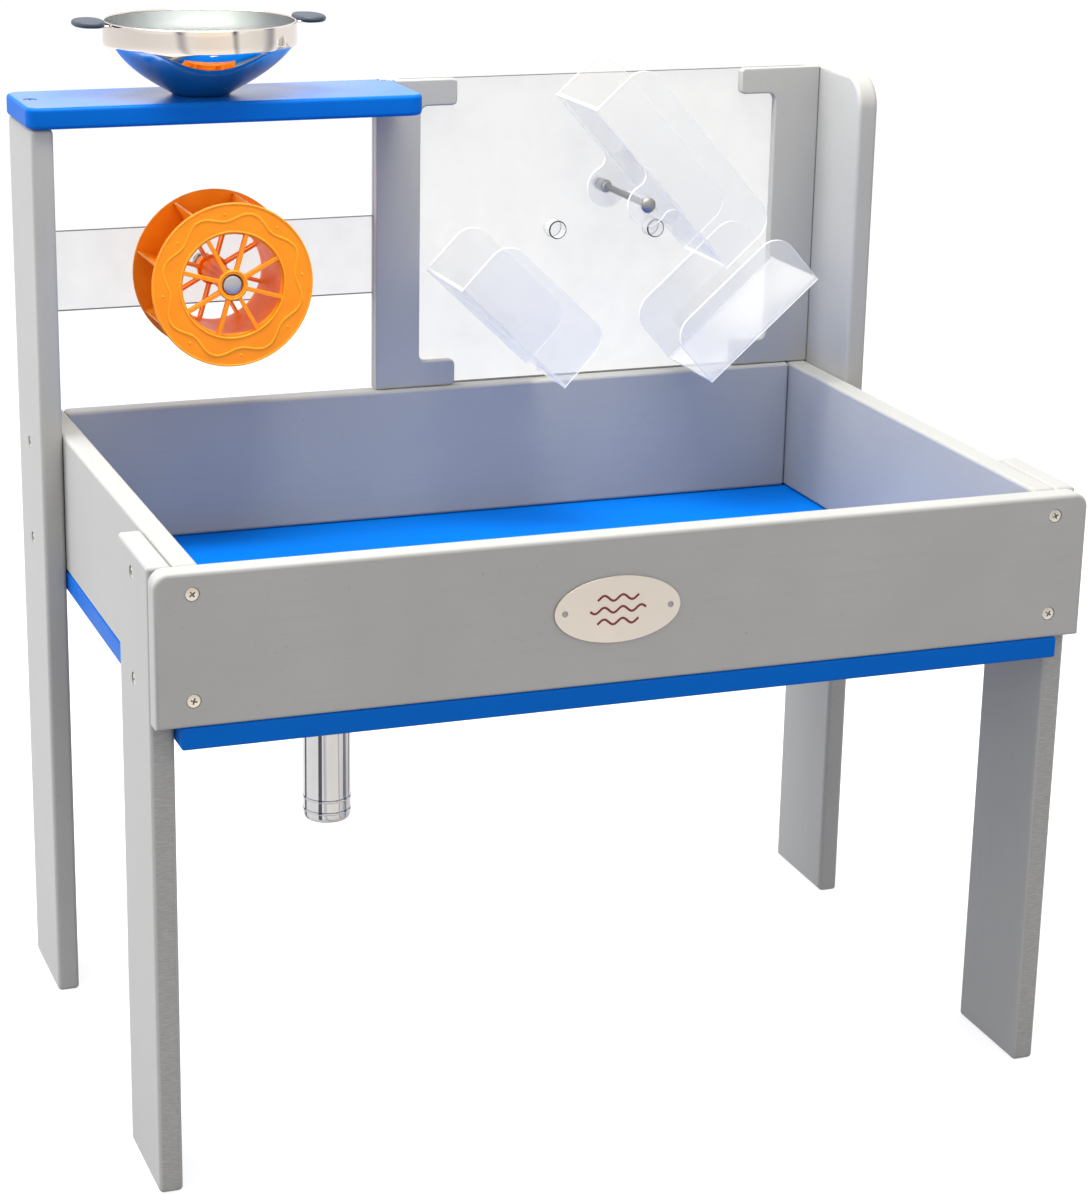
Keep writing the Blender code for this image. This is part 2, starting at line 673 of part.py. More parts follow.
# ---------------------------------------------------------------- bowl
def bowl_side(inset):
    """The bowl's side from rim to foot: an upright band, then a bulging flank down to a small foot."""
    shoulder_radius, shoulder_height = BOWL_RADIUS - inset, BOWL_HEIGHT - BOWL_BAND
    foot_radius, foot_height = BOWL_FOOT - inset / 2, inset
    points = [(shoulder_radius, BOWL_HEIGHT)]
    steps = 6
    for i in range(steps + 1):
        t = i / steps
        bulge = BOWL_BULGE * math.sin(math.pi * t)
        radius = shoulder_radius + (foot_radius - shoulder_radius) * t + bulge
        height = shoulder_height + (foot_height - shoulder_height) * t - bulge
        points.append((radius, height))
    return points


bowl_profile = [(0, BOWL_WALL)] + bowl_side(BOWL_WALL)[::-1] + bowl_side(0) + [(0, 0)]
turned("mixing_bowl", bowl_profile, (BOWL_X, BOWL_Y, TOP + GAP), (0, 0, 1), MIRROR_STEEL, 32)

for side, sign in (("left", -1), ("right", 1)):
    half_angle = math.degrees(math.asin(GRIP_WIDTH / 2 / BOWL_RADIUS))
    outline = arc((0, 0), BOWL_RADIUS + GAP, half_angle, -half_angle, 8)
    root = outline[0][0]
    for i in range(13):
        turn = math.radians(-80 + 160 * i / 12)
        reach = (BOWL_RADIUS + GRIP_REACH - root) * math.cos(turn) ** 0.6
        outline.append((root + reach, GRIP_WIDTH / 2 * math.sin(turn)))
    outline = [(sign * x, y) for x, y in outline]
    middle = (BOWL_X, BOWL_Y, GRIP_Z)
    plate("bowl_grip_" + side, [outline], "XY", middle, GRIP_THICK, GRIP_RUBBER, 0.0015)

# ---------------------------------------------------------------- badge
badge_length, badge_height, badge_thick = BADGE_SIZE
badge_outline = []
for u, v in circle((0, 0), 1, 40):
    badge_outline.append((BADGE_X + u * badge_length / 2, BADGE_Z + v * badge_height / 2))
badge_y = FRONT - GAP - badge_thick / 2
badge = plate("badge_plate", [badge_outline], "XZ", (0, badge_y, 0), badge_thick, BADGE_ENAMEL)
badge_face = FRONT - GAP - badge_thick
for side, sign in (("left", -1), ("right", 1)):
    head = (BADGE_X + sign * BADGE_RIVET_X, badge_face, BADGE_Z)
    wood_screw(f"badge_rivet_{side}", head, (0, 1, 0), BADGE_RIVET, (badge, apron), STEEL, countersunk=False)

# ---------------------------------------------------------------- wood screws
number = 0
for side, sign in (("left", -1), ("right", 1)):
    for z in APRON_SCREW_HEIGHTS:
        number += 1
        head = (sign * (SIDE_INNER + SIDE_OUTER) / 2, FRONT, z)
        wood_screw(f"apron_screw_{number}", head, (0, 1, 0), BOARD_SCREW, (apron, side_boards[side]))

for (leg, y_up), zs in LEG_SCREWS.items():
    side = leg.split("_")[1]
    sign = -1 if side == "left" else 1
    for number, z in enumerate(zs, 1):
        head = (sign * RIGHT, FRONT + y_up, z)
        boards = (legs[leg], side_boards[side])
        wood_screw(f"{leg}_screw_{number}", head, (-sign, 0, 0), LEG_SCREW, boards)

for side, board in (("left", legs["rear_left"]), ("right", left_bracket)):
    x, y_up = SHELF_SCREWS[side]
    head = (x, FRONT + y_up, TOP)
    wood_screw(f"shelf_screw_{side}", head, (0, 0, -1), BOARD_SCREW, (shelf, board))

for side, bracket in (("left", left_bracket), ("right", right_bracket)):
    for number, z in enumerate(BRACKET_SCREW_HEIGHTS, 1):
        head = (BRACKET_SCREWS[side], SHEET_BACK, z)
        name = f"{side}_bracket_screw_{number}"
        wood_screw(name, head, (0, -1, 0), PANEL_SCREW, (panel, bracket), countersunk=False)

# ---------------------------------------------------------------- drain
up = (0, 0, 1)
flange_profile = [
    (FLANGE_FLAT, FLANGE_THICK),
    (FLANGE_RADIUS, FLANGE_RIM),
    (FLANGE_RADIUS, 0),
    (DRAIN_TAIL_RADIUS, 0),
    (DRAIN_TAIL_RADIUS, -DRAIN_TAIL_LENGTH),
    (DRAIN_BORE_RADIUS, -DRAIN_TAIL_LENGTH),
    (DRAIN_BORE_RADIUS, -PLUG_DEPTH),
    (PLUG_RADIUS + GAP, FLANGE_RIM),
]
turned("drain_flange", flange_profile, (DRAIN_X, DRAIN_Y, FLOOR_TOP + GAP), up, CHROME, 24, ring=True)
floor_hole = turned(
    "floor_hole",
    [(0, 0.05), (DRAIN_TAIL_RADIUS + GAP, 0.05), (DRAIN_TAIL_RADIUS + GAP, 0), (0, 0)],
    (DRAIN_X, DRAIN_Y, FLOOR_BOTTOM - 0.01),
    up,
    steps=24,
)
cut(base_panel, floor_hole)


def drain_ring(name, top, size, paint, steps=24):
    """A ring round the drain's tail, below a height; it gives the height just below the ring."""
    outer, height = size
    inner = DRAIN_TAIL_RADIUS + GAP
    outlines = [circle((0, 0), outer, steps), circle((0, 0), inner, 24)]
    plate(name, outlines, "XY", (DRAIN_X, DRAIN_Y, top - height / 2), height, paint)
    return top - height - GAP


below = drain_ring("drain_seal", FLOOR_BOTTOM - GAP, DRAIN_SEAL, GRIP_RUBBER)
below = drain_ring("drain_nut", below, DRAIN_NUT, CHROME, 8)

socket_foot = FLOOR_TOP - DRAIN_TAIL_LENGTH - 0.002
pipe_profile = [(DRAIN_PIPE_RADIUS, below - DRAIN_PIPE_END)]
for bead in DRAIN_PIPE_BEADS:
    pipe_profile += [
        (DRAIN_PIPE_RADIUS, bead + 0.0012),
        (DRAIN_PIPE_RADIUS + 0.0005, bead),
        (DRAIN_PIPE_RADIUS, bead - 0.0012),
    ]
pipe_profile += [
    (DRAIN_PIPE_RADIUS - 0.0005, 0.0030),
    (DRAIN_PIPE_RADIUS - 0.0015, 0.0008),
    (DRAIN_PIPE_RADIUS - 0.0022, 0),
    (DRAIN_PIPE_RADIUS - 0.0032, 0.0012),
    (DRAIN_PIPE_RADIUS - 0.0022, 0.0040),
    (DRAIN_PIPE_RADIUS - DRAIN_PIPE_WALL, 0.0070),
    (DRAIN_PIPE_RADIUS - DRAIN_PIPE_WALL, socket_foot - DRAIN_PIPE_END),
    (DRAIN_TAIL_RADIUS + GAP, socket_foot - DRAIN_PIPE_END),
    (DRAIN_TAIL_RADIUS + GAP, below - DRAIN_PIPE_END),
]
turned("drain_pipe", pipe_profile, (DRAIN_X, DRAIN_Y, DRAIN_PIPE_END), up, CHROME, 24, ring=True)

plug_profile = [
    (0, 0.0220),
    (0.0050, 0.0215),
    (0.0062, 0.0180),
    (0.0045, 0.0140),
    (0.0050, 0.0060),
    (PLUG_RADIUS - 0.0010, 0.0045),
    (PLUG_RADIUS, FLANGE_THICK),
    (DRAIN_BORE_RADIUS - GAP, -PLUG_DEPTH),
    (DRAIN_BORE_RADIUS - 0.0010, -PLUG_DEPTH - 0.0010),
    (0, -PLUG_DEPTH - 0.0010),
]
turned("drain_plug", plug_profile, (DRAIN_X, DRAIN_Y, FLOOR_TOP + GAP), up, GRIP_RUBBER, 24)
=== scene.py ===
"""The looks of a children's sand and water table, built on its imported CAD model."""

import json
import math

import bmesh
import bpy
from mathutils import Matrix, Vector


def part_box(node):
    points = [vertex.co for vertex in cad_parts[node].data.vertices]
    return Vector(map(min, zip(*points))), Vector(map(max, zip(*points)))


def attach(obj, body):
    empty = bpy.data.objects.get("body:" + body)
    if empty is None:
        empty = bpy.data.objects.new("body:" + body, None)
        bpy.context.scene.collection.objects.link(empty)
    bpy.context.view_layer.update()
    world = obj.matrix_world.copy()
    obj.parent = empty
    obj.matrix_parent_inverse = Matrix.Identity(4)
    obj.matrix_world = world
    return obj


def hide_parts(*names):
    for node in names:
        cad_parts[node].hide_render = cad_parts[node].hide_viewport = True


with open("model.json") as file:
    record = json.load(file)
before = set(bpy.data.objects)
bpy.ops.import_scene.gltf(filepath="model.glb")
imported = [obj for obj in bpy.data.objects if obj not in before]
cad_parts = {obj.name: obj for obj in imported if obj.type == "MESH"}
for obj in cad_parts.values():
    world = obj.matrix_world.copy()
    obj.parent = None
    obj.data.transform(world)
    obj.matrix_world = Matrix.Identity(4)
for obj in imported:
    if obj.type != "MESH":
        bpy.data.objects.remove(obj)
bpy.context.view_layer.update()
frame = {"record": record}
scene_collection = bpy.context.scene.collection


# ------------------------ where things are, from the CAD
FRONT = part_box("front_apron")[0].y
joints = {joint["name"]: joint for joint in frame["record"]["behaviour"]["joints"]}
PIVOT = Vector(joints["trough_tip"]["pos_m"])
WHEEL_AXIS = Vector(joints["wheel_spin"]["pos_m"])

CHANNEL_DEPTH = 0.100
CHANNEL_HEIGHT = 0.062
CHANNEL_CORNER = 0.021
SHEET_WALL = 0.003
TROUGH_LENGTH = 0.195
TROUGH_TILT = math.radians(48.3)
LUG_RADIUS, LUG_FILLET, LUG_DROP = 0.019, 0.010, 0.018
CHUTE_LENGTH = 0.135
CHUTES = {
    "left": (0.0325, 0.5740, math.radians(43.5)),
    "right": (0.2745, 0.5680, math.radians(-41.5)),
}
WHEEL_RADIUS, DRUM_RADIUS, HUB_RADIUS = 0.0705, 0.0455, 0.0128
WHEEL_VANES = 8
WHEEL_PHASE = math.radians(28.5)
WHEEL_PITCH = 2 * math.pi / WHEEL_VANES
DRAIN_TAIL = 0.0176
BOLT_HOLE, AXLE_HOLE = 0.0033, 0.0053
ACRYLIC_IOR = 1.49
SHARP_ANGLE = 38  # degrees; an edge that turns more than this stays sharp
FACING = 0.9  # a face with this much of an axis in its normal lies across that axis


# ------------------------ camera, light and floor
def make_camera():
    azimuth, elevation, roll = math.radians(-19.83), math.radians(17.82), math.radians(0.873)
    flat = math.cos(elevation)
    forward = Vector((-math.sin(azimuth) * flat, math.cos(azimuth) * flat, -math.sin(elevation)))
    level = Vector((math.cos(azimuth), math.sin(azimuth), 0))
    rise = level.cross(forward)
    right = level * math.cos(roll) + rise * math.sin(roll)
    up = rise * math.cos(roll) - level * math.sin(roll)
    data = bpy.data.cameras.new("camera")
    data.lens = 89.40
    data.shift_x = 0.04375
    data.shift_y = 0.0020
    data.clip_end = 50
    camera = bpy.data.objects.new("camera", data)
    scene_collection.objects.link(camera)
    columns = Matrix((right, up, -forward)).transposed()
    camera.matrix_world = Matrix.Translation((-0.8500, FRONT - 2.0139, 1.1555)) @ columns.to_4x4()
    bpy.context.scene.camera = camera


def area_light(name, place, target, size, power, color=(1, 1, 1), mirrored=True):
    data = bpy.data.lights.new(name, "AREA")
    data.shape = "RECTANGLE"
    data.size, data.size_y = size
    data.energy = power
    data.color = color
    light = bpy.data.objects.new(name, data)
    light.location = place
    light.visible_glossy = mirrored
    light.rotation_euler = (Vector(target) - Vector(place)).to_track_quat("-Z", "Y").to_euler()
    scene_collection.objects.link(light)


def new_node(tree, kind, links=None, **settings):
    """Adds a node, with its settings and what its inputs are linked from."""
    made = tree.nodes.new("ShaderNode" + kind)
    for name, value in settings.items():
        if hasattr(made, name):
            setattr(made, name, value)
        else:
            made.inputs[name.replace("_", " ").title()].default_value = value
    for socket, source in (links or {}).items():
        tree.links.new(source, made.inputs[socket])
    return made


def ramp_of(tree, stops, source):
    made = new_node(tree, "ValToRGB", {"Fac": source})
    made.color_ramp.interpolation = "EASE"
    elements = made.color_ramp.elements
    elements[0].position, elements[0].color = stops[0][0], (*stops[0][1], 1)
    elements[1].position, elements[1].color = stops[-1][0], (*stops[-1][1], 1)
    for position, color in stops[1:-1]:
        elements.new(position).color = (*color, 1)
    return made.outputs["Color"]


# What the studio's walls look like from the table, once round from the back through the left side.
WALLS = [
    (0.00, (0.82, 0.82, 0.83)),
    (0.12, (0.92, 0.92, 0.92)),
    (0.145, (0.26, 0.26, 0.30)),
    (0.175, (0.92, 0.90, 0.88)),
    (0.24, (0.96, 0.86, 0.74)),
    (0.31, (1.00, 0.92, 0.84)),
    (0.325, (0.12, 0.12, 0.16)),
    (0.345, (0.92, 0.92, 0.90)),
    (0.42, (0.82, 0.82, 0.80)),
    (0.47, (0.10, 0.11, 0.20)),
    (0.50, (0.98, 0.98, 1.00)),
    (1.00, (0.82, 0.82, 0.83)),
]
SKY = [(0.30, (0.0,) * 3), (0.62, (1.0,) * 3)]
FLOOR_TONES = [(0.35, (0.310,) * 3), (0.65, (0.318,) * 3)]


def walls_round(tree, coords):
    around = new_node(tree, "TexGradient", {"Vector": coords}, gradient_type="RADIAL")
    return ramp_of(tree, WALLS, around.outputs["Fac"])


def make_world():
    """A bright studio: white to the eye, with a few darker strips that metal and gloss can mirror."""
    world = bpy.data.worlds.new("studio")
    world.use_nodes = True
    bpy.context.scene.world = world
    tree = world.node_tree
    background = tree.nodes["Background"]
    background.inputs["Strength"].default_value = 1.22
    coords = new_node(tree, "TexCoord").outputs["Generated"]
    height = new_node(tree, "SeparateXYZ", {"Vector": coords}).outputs["Z"]
    links = {"Factor": ramp_of(tree, SKY, height), "A": walls_round(tree, coords)}
    above = new_node(tree, "Mix", links, data_type="RGBA", B=(0.97, 0.97, 0.97, 1))
    path = new_node(tree, "LightPath")
    links = {"Factor": path.outputs["Is Camera Ray"], "A": above.outputs["Result"]}
    seen = new_node(tree, "Mix", links, data_type="RGBA", B=(0.82, 0.82, 0.82, 1))
    tree.links.new(seen.outputs["Result"], background.inputs["Color"])


make_camera()
make_world()
bpy.context.scene.view_settings.view_transform = "Standard"
area_light("key_light", (-1.15, 0.35, 3.15), (0, 0, 0.45), (1.8, 1.8), 100)
area_light("side_light", (-2.6, 1.5, 1.0), (0, 0, 0.4), (1.6, 1.6), 44, mirrored=False)
area_light("front_fill", (0.4, -3.2, 1.9), (0, 0, 0.45), (2.0, 2.0), 15, mirrored=False)
area_light("tray_light", (-0.10, -0.15, 1.75), (0, 0.05, 0.40), (0.5, 0.3), 15, (1.0, 0.97, 0.80))


# ------------------------ materials
class Shade:
    """A material with one Principled shader and a short way to add nodes to it."""

    def __init__(self, name, **constants):
        self.material = bpy.data.materials.new(name)
        self.material.use_nodes = True
        self.tree = self.material.node_tree
        self.shader = self.tree.nodes["Principled BSDF"]
        for socket, value in constants.items():
            if socket == "color":
                value = (*value, 1)
            self.shader.inputs[SOCKETS[socket]].default_value = value

    def node(self, kind, links=None, **settings):
        return new_node(self.tree, kind, links, **settings)

    def feed(self, socket, source):
        self.tree.links.new(source, self.shader.inputs[SOCKETS[socket]])

    def place(self, stretch=(1, 1, 1), turn=(0, 0, 0)):
        """Coordinates on the piece itself, stretched along an axis where the stretch is small."""
        coords = self.node("TexCoord")
        mapping = self.node("Mapping", {"Vector": coords.outputs["Object"]})
        mapping.inputs["Scale"].default_value = stretch
        mapping.inputs["Rotation"].default_value = turn
        return mapping.outputs["Vector"]

    def noise(self, vector, scale, detail=3.0):
        made = self.node("TexNoise", {"Vector": vector}, scale=scale, detail=detail, roughness=0.55)
        return made.outputs["Fac"]

    def spread(self, value, low, high, source=(0.3, 0.7)):
        """A value stretched from its source range onto low to high."""
        limits = {"from_min": source[0], "from_max": source[1], "to_min": low, "to_max": high}
        return self.node("MapRange", {"Value": value}, **limits).outputs["Result"]

    def math(self, operation, a, b):
        made = self.node("Math", operation=operation)
        for index, value in enumerate((a, b)):
            if isinstance(value, (int, float)):
                made.inputs[index].default_value = value
            else:
                self.tree.links.new(value, made.inputs[index])
        return made.outputs["Value"]

    def blend(self, factor, first, second):
        """A colour between two, by a factor."""
        made = self.node("Mix", data_type="RGBA")
        self.tree.links.new(factor, made.inputs["Factor"])
        for socket, value in (("A", first), ("B", second)):
            if isinstance(value, tuple):
                made.inputs[socket].default_value = (*value, 1)
            else:
                self.tree.links.new(value, made.inputs[socket])
        return made.outputs["Result"]

    def tones(self, value, color, low, high=1, source=(0.3, 0.7)):
        """A colour scaled from low to high by a value."""
        return self.blend(self.spread(value, 0, 1, source), scaled(color, low), scaled(color, high))

    def bump(self, *layers):
        """Bumps, each a height, a strength and a depth in metres, one on top of the other."""
        normal = None
        for height, strength, depth in layers:
            made = self.node("Bump", {"Height": height}, strength=strength, distance=depth)
            if normal:
                self.tree.links.new(normal, made.inputs["Normal"])
            normal = made.outputs["Normal"]
        self.feed("normal", normal)


SOCKETS = {
    "color": "Base Color",
    "roughness": "Roughness",
    "metallic": "Metallic",
    "alpha": "Alpha",
    "normal": "Normal",
    "specular": "Specular IOR Level",
    "ior": "IOR",
    "subsurface": "Subsurface Weight",
    "subsurface_scale": "Subsurface Scale",
}


def scaled(color, factor):
    return tuple(channel * factor for channel in color)


def paint(name, color, grain, roughness=0.5, specular=0.5, marks=None):
    """Sprayed paint on wood: soft clouds of tone, a fine skin and the wood's faint grain."""
    shade = Shade(name, specular=specular)
    stretch = tuple(0.07 if axis == grain else 1.0 for axis in "XYZ")
    along = shade.place(stretch)
    even = shade.place()
    fibres = shade.noise(along, 260, 4.0)
    clouds = shade.noise(even, 9, 2.0)
    skin = shade.noise(even, 1500, 1.0)
    specks = shade.noise(even, 420, 2.0)
    tone = shade.tones(clouds, color, 0.955, 1.03)
    tone = shade.blend(shade.spread(fibres, 0, 0.3, (0.45, 0.75)), tone, scaled(color, 0.93))
    dust = shade.spread(specks, 0, 0.7, (0.69, 0.76))
    tone = shade.blend(dust, tone, scaled(color, 0.72))
    shade.feed("roughness", shade.spread(clouds, roughness - 0.06, roughness + 0.08))
    layers = [(fibres, 0.09, 0.0005), (skin, 0.10, 0.0002)]
    if marks:
        turned = shade.place((0.12, 1, 1), marks)
        tone = shade.tones(shade.noise(turned, 1000, 2.0), color, 0.93, 1.14, (0.42, 0.68))
        lines = {"Vector": shade.place((1, 1, 1), marks)}
        ragged = {"scale": 95, "distortion": 1.8, "detail": 2.5, "detail_scale": 1.2}
        saw = shade.node("TexWave", lines, bands_direction="Z", **ragged)
        layers.append((saw.outputs["Fac"], 0.22, 0.0004))
    shade.feed("color", tone)
    shade.bump(*layers)
    return shade.material


GREY = (0.335, 0.335, 0.335)
BLUE = (0.0003, 0.102, 0.46)
grey_paint = {axis: paint("grey_paint_" + axis, GREY, axis, 0.55, 0.30) for axis in "XYZ"}
grey_sawn = paint("grey_paint_sawn", scaled(GREY, 0.86), "Z", 0.6, 0.25, marks=(0, math.radians(28), 0))
blue_paint = paint("blue_paint", BLUE, "X", 0.42, 0.06)
blue_gloss = paint("blue_paint_gloss", BLUE, "X", 0.22, 0.62)
# A lighter blue for the tray floor's upward faces: painted light, the top shown lit more than the sides.
blue_painted_light_top = paint("blue_paint_painted_light_top", (0.0003, 0.150, 0.66), "X", 0.55, 0.03)


def acrylic(name, color, facing, grazing, roughness=0.06, scuffed=True):
    """Clear sheet: nearly see-through face on, and bright where it is seen at a slant."""
    shade = Shade(name, color=color, roughness=roughness, ior=ACRYLIC_IOR)
    slant = shade.node("LayerWeight")
    slant.inputs["Blend"].default_value = 0.35
    haze = shade.noise(shade.place(), 28, 2.0)
    alpha = shade.spread(slant.outputs["Fresnel"], facing, grazing, (0.02, 0.6))
    alpha = shade.math("ADD", alpha, shade.spread(haze, -0.015, 0.02))
    shade.feed("alpha", alpha)
    shade.feed("roughness", shade.spread(haze, roughness - 0.03, roughness + 0.05))
    if scuffed:
        scuffs = shade.noise(shade.place((1, 1, 0.2)), 60, 2.0)
        shade.bump((scuffs, 0.02, 0.0001))
    return shade.material


clear_sheet = acrylic("clear_sheet", (0.44,) * 3, 0.15, 0.28, scuffed=False)
clear_channel = acrylic("clear_channel", (0.75, 0.75, 0.745), 0.25, 0.38)
clear_spacer = acrylic("clear_spacer", (0.80,) * 3, 0.02, 0.07, scuffed=False)


def cut_edge(name, color, alpha, roughness):
    """The sawn and polished edge of clear sheet, in a flat colour of painted light: a painted glow where
    it gathers light, painted shade where it looks dark.
    """
    shade = Shade(name, alpha=alpha, ior=ACRYLIC_IOR)
    ripple = shade.noise(shade.place(), 700, 2.0)
    shade.feed("color", shade.tones(ripple, color, 0.93))
    shade.feed("roughness", shade.spread(ripple, roughness - 0.05, roughness + 0.08))
    shade.bump((ripple, 0.15, 0.0002))
    return shade.material


# White for the channels' cut edges: a painted glow where the edge gathers light.
painted_glow_edge = cut_edge("clear_edge_painted_glow", (0.97, 0.97, 0.97), 0.52, 0.25)
# Near-black for the clear panels' edges and the pegs' rims: painted shade where a cut edge of clear
# sheet looks dark.
painted_shade_edge = cut_edge("clear_edge_painted_shade", (0.03, 0.03, 0.032), 0.97, 0.40)


def plastic(name, color, roughness, subsurface=0.0, specular=0.35):
    """Moulded plastic with a soft flow pattern and a slightly uneven gloss."""
    shade = Shade(name, subsurface=subsurface, subsurface_scale=0.004, specular=specular)
    flow = shade.noise(shade.place(), 45, 3.0)
    skin = shade.noise(shade.place(), 900, 2.0)
    shade.feed("color", shade.tones(flow, color, 0.93, 1.04))
    shade.feed("roughness", shade.spread(flow, roughness - 0.06, roughness + 0.08))
    shade.bump((flow, 0.08, 0.0006), (skin, 0.10, 0.0001))
    return shade.material


# A lighter orange for the wheel's raised lines, studs and ribs: painted highlight, as if they catch more
# light than the flat plastic.
orange_painted_highlight = plastic("orange_plastic_painted_highlight", (1.0, 0.325, 0.004), 0.34, 0.12)
orange_plastic = plastic("orange_plastic", (1.0, 0.275, 0.003), 0.40, 0.10)
grip_silicone = plastic("grip_silicone", (0.030, 0.040, 0.058), 0.48)
black_rubber = plastic("black_rubber", (0.02, 0.02, 0.022), 0.6)


def metal(name, color, roughness, brushed=None, strength=0.1, wear=0.04):
    """Bare metal; brushed names the axis that the fine lines run along, or "round" for turned lines."""
    shade = Shade(name, metallic=1.0)
    even = shade.place()
    smear = shade.noise(even, 30, 3.0)
    if brushed == "round":
        parts = shade.node("SeparateXYZ", {"Vector": even})
        squares = [shade.math("MULTIPLY", parts.outputs[axis], parts.outputs[axis]) for axis in "XY"]
        radius = shade.math("SQRT", shade.math("ADD", *squares), 0)
        rings = shade.node("CombineXYZ", {"X": radius, "Z": parts.outputs["Z"]})
        lines = shade.noise(rings.outputs["Vector"], 1600, 3.0)
    elif brushed:
        stretch = tuple(0.02 if axis == brushed else 1.0 for axis in "XYZ")
        lines = shade.noise(shade.place(stretch), 1500, 3.0)
    else:
        lines = shade.noise(even, 600, 2.0)
    shade.feed("color", shade.tones(smear, color, 0.94))
    shade.feed("roughness", shade.spread(smear, max(roughness - wear / 2, 0.01), roughness + wear))
    shade.bump((lines, strength, 0.0001))
    return shade.material


zinc_steel = metal("zinc_steel", (0.52, 0.52, 0.54), 0.30, "round", 0.15)
bolt_steel = metal("bolt_steel", (0.30, 0.30, 0.305), 0.50, "round", 0.15)
screw_nickel = metal("screw_nickel", (0.60, 0.56, 0.50), 0.26, "round", 0.12)
mirror_steel = metal("mirror_steel", (0.82, 0.745, 0.68), 0.035, None, 0.01, 0.02)
brushed_steel = metal("brushed_inside", (0.47, 0.49, 0.50), 0.36, "round", 0.30)
chrome = metal("chrome", (0.47, 0.465, 0.475), 0.05, None, 0.01, 0.03)
# Dark brown for the screws' cross recesses: painted shade in the hollows, not a colour of the metal.
recess_painted_shade = metal("recess_painted_shade", (0.10, 0.085, 0.07), 0.55, None, 0.2)
badge_cream = metal("badge_cream", (0.61, 0.565, 0.52), 0.40, "X", 0.08)
badge_print = plastic("badge_print", (0.16, 0.028, 0.026), 0.45)


def floor_material():
    """A pale sweep: near-white to the eye, but mid grey in its bounce, so that shadows stay faint."""
    material = bpy.data.materials.new("floor")
    material.use_nodes = True
    tree = material.node_tree
    tree.nodes.remove(tree.nodes["Principled BSDF"])
    coords = new_node(tree, "TexCoord").outputs["Object"]
    clouds = new_node(tree, "TexNoise", {"Vector": coords}, scale=1.5)
    tone = ramp_of(tree, FLOOR_TONES, clouds.outputs["Fac"])
    matt = new_node(tree, "BsdfDiffuse", {"Color": tone}).outputs["BSDF"]
    path = new_node(tree, "LightPath")
    eye, gloss = path.outputs["Is Camera Ray"], path.outputs["Is Glossy Ray"]
    hues = {"Factor": gloss, "B": walls_round(tree, coords)}
    hue = new_node(tree, "Mix", hues, data_type="RGBA", A=(1, 1, 1, 1))
    away = new_node(tree, "VectorMath", {0: coords}, operation="LENGTH").outputs["Value"]
    near, far = {"from_min": 0.9, "to_min": 0.80}, {"from_max": 2.2, "to_max": 0.65}
    fall = new_node(tree, "MapRange", {"Value": away}, **near, **far)
    glow = {"Color": hue.outputs["Result"], "Strength": fall.outputs["Result"]}
    glow = new_node(tree, "Emission", glow).outputs["Emission"]
    lifted = new_node(tree, "AddShader", {0: matt, 1: glow}).outputs["Shader"]
    either = new_node(tree, "Math", {0: eye, 1: gloss}, operation="MAXIMUM").outputs["Value"]
    mix = new_node(tree, "MixShader", {0: either, 1: matt, 2: lifted}).outputs["Shader"]
    tree.links.new(mix, tree.nodes["Material Output"].inputs["Surface"])
    return material


# ------------------------ shapes
def add(name, mesh, *materials):
    made = bpy.data.objects.new(name, mesh)
    scene_collection.objects.link(made)
    for material in materials:
        mesh.materials.append(material)
    return made


def smooth(mesh):
    mesh.shade_smooth()
    mesh.set_sharp_from_angle(angle=math.radians(SHARP_ANGLE))


def even_normals(obj):
    modifier = obj.modifiers.new("even_normals", "WEIGHTED_NORMAL")
    modifier.keep_sharp = True
    return modifier


def settle(obj):
    """Applies the modifiers and smooths all but the sharp edges."""
    graph = bpy.context.evaluated_depsgraph_get()
    mesh = bpy.data.meshes.new_from_object(obj.evaluated_get(graph))
    obj.modifiers.clear()
    obj.data = mesh
    smooth(mesh)
    even_normals(obj).weight = 80
    return obj


def second_material(obj, chosen):
    """Gives the faces that pass a test the second material, and the others the first."""
    for face in obj.data.polygons:
        face.material_index = 1 if chosen(face) else 0


def upward(face):
    return face.normal.z > FACING


def belongs(piece, body, slot, *nodes):
    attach(piece, body)
    if nodes:
        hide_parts(*nodes)
    return piece


def arc(centre, radius, start, end, steps):
    """Points on an arc from start to end, in degrees, both ends included."""
    angles = [math.radians(start + (end - start) * i / steps) for i in range(steps + 1)]
    return [(centre[0] + radius * math.cos(a), centre[1] + radius * math.sin(a)) for a in angles]


def circle(radius, steps=96, centre=(0, 0)):
    return arc(centre, radius, 0, 360, steps)[:-1]


def rounded_box(us, vs, radii, steps=12):
    corners = [
        (us[0], vs[0], 1, 1, 180),
        (us[1], vs[0], -1, 1, 270),
        (us[1], vs[1], -1, -1, 0),
        (us[0], vs[1], 1, -1, 90),
    ]
    points = []
    for (u, v, du, dv, start), radius in zip(corners, radii):
        if radius:
            points += arc((u + du * radius, v + dv * radius), radius, start, start + 90, steps)
        else:
            points.append((u, v))
    return points


def signed_area(outline):
    return sum(a[0] * b[1] - b[0] * a[1] for a, b in zip(outline, outline[1:] + outline[:1])) / 2


PLANES = {
    "XY": Matrix.Identity(3),
    "XZ": Matrix(((1, 0, 0), (0, 0, -1), (0, 1, 0))),
    "YZ": Matrix(((0, 0, 1), (1, 0, 0), (0, 1, 0))),
}


def trace(curve, points, closed=True):
    spline = curve.splines.new("POLY")
    spline.points.add(len(points) - 1)
    for point, place in zip(spline.points, points):
        point.co = (*place, 1)
    spline.use_cyclic_u = closed


def mesh_of(curve):
    guide = bpy.data.objects.new("guide", curve)
    scene_collection.objects.link(guide)
    graph = bpy.context.evaluated_depsgraph_get()
    mesh = bpy.data.meshes.new_from_object(guide.evaluated_get(graph))
    bpy.data.objects.remove(guide)
    mesh.materials.clear()
    return mesh


def baked(name, shape):
    mesh = bpy.data.meshes.new(name)
    shape.to_mesh(mesh)
    shape.free()
    return mesh


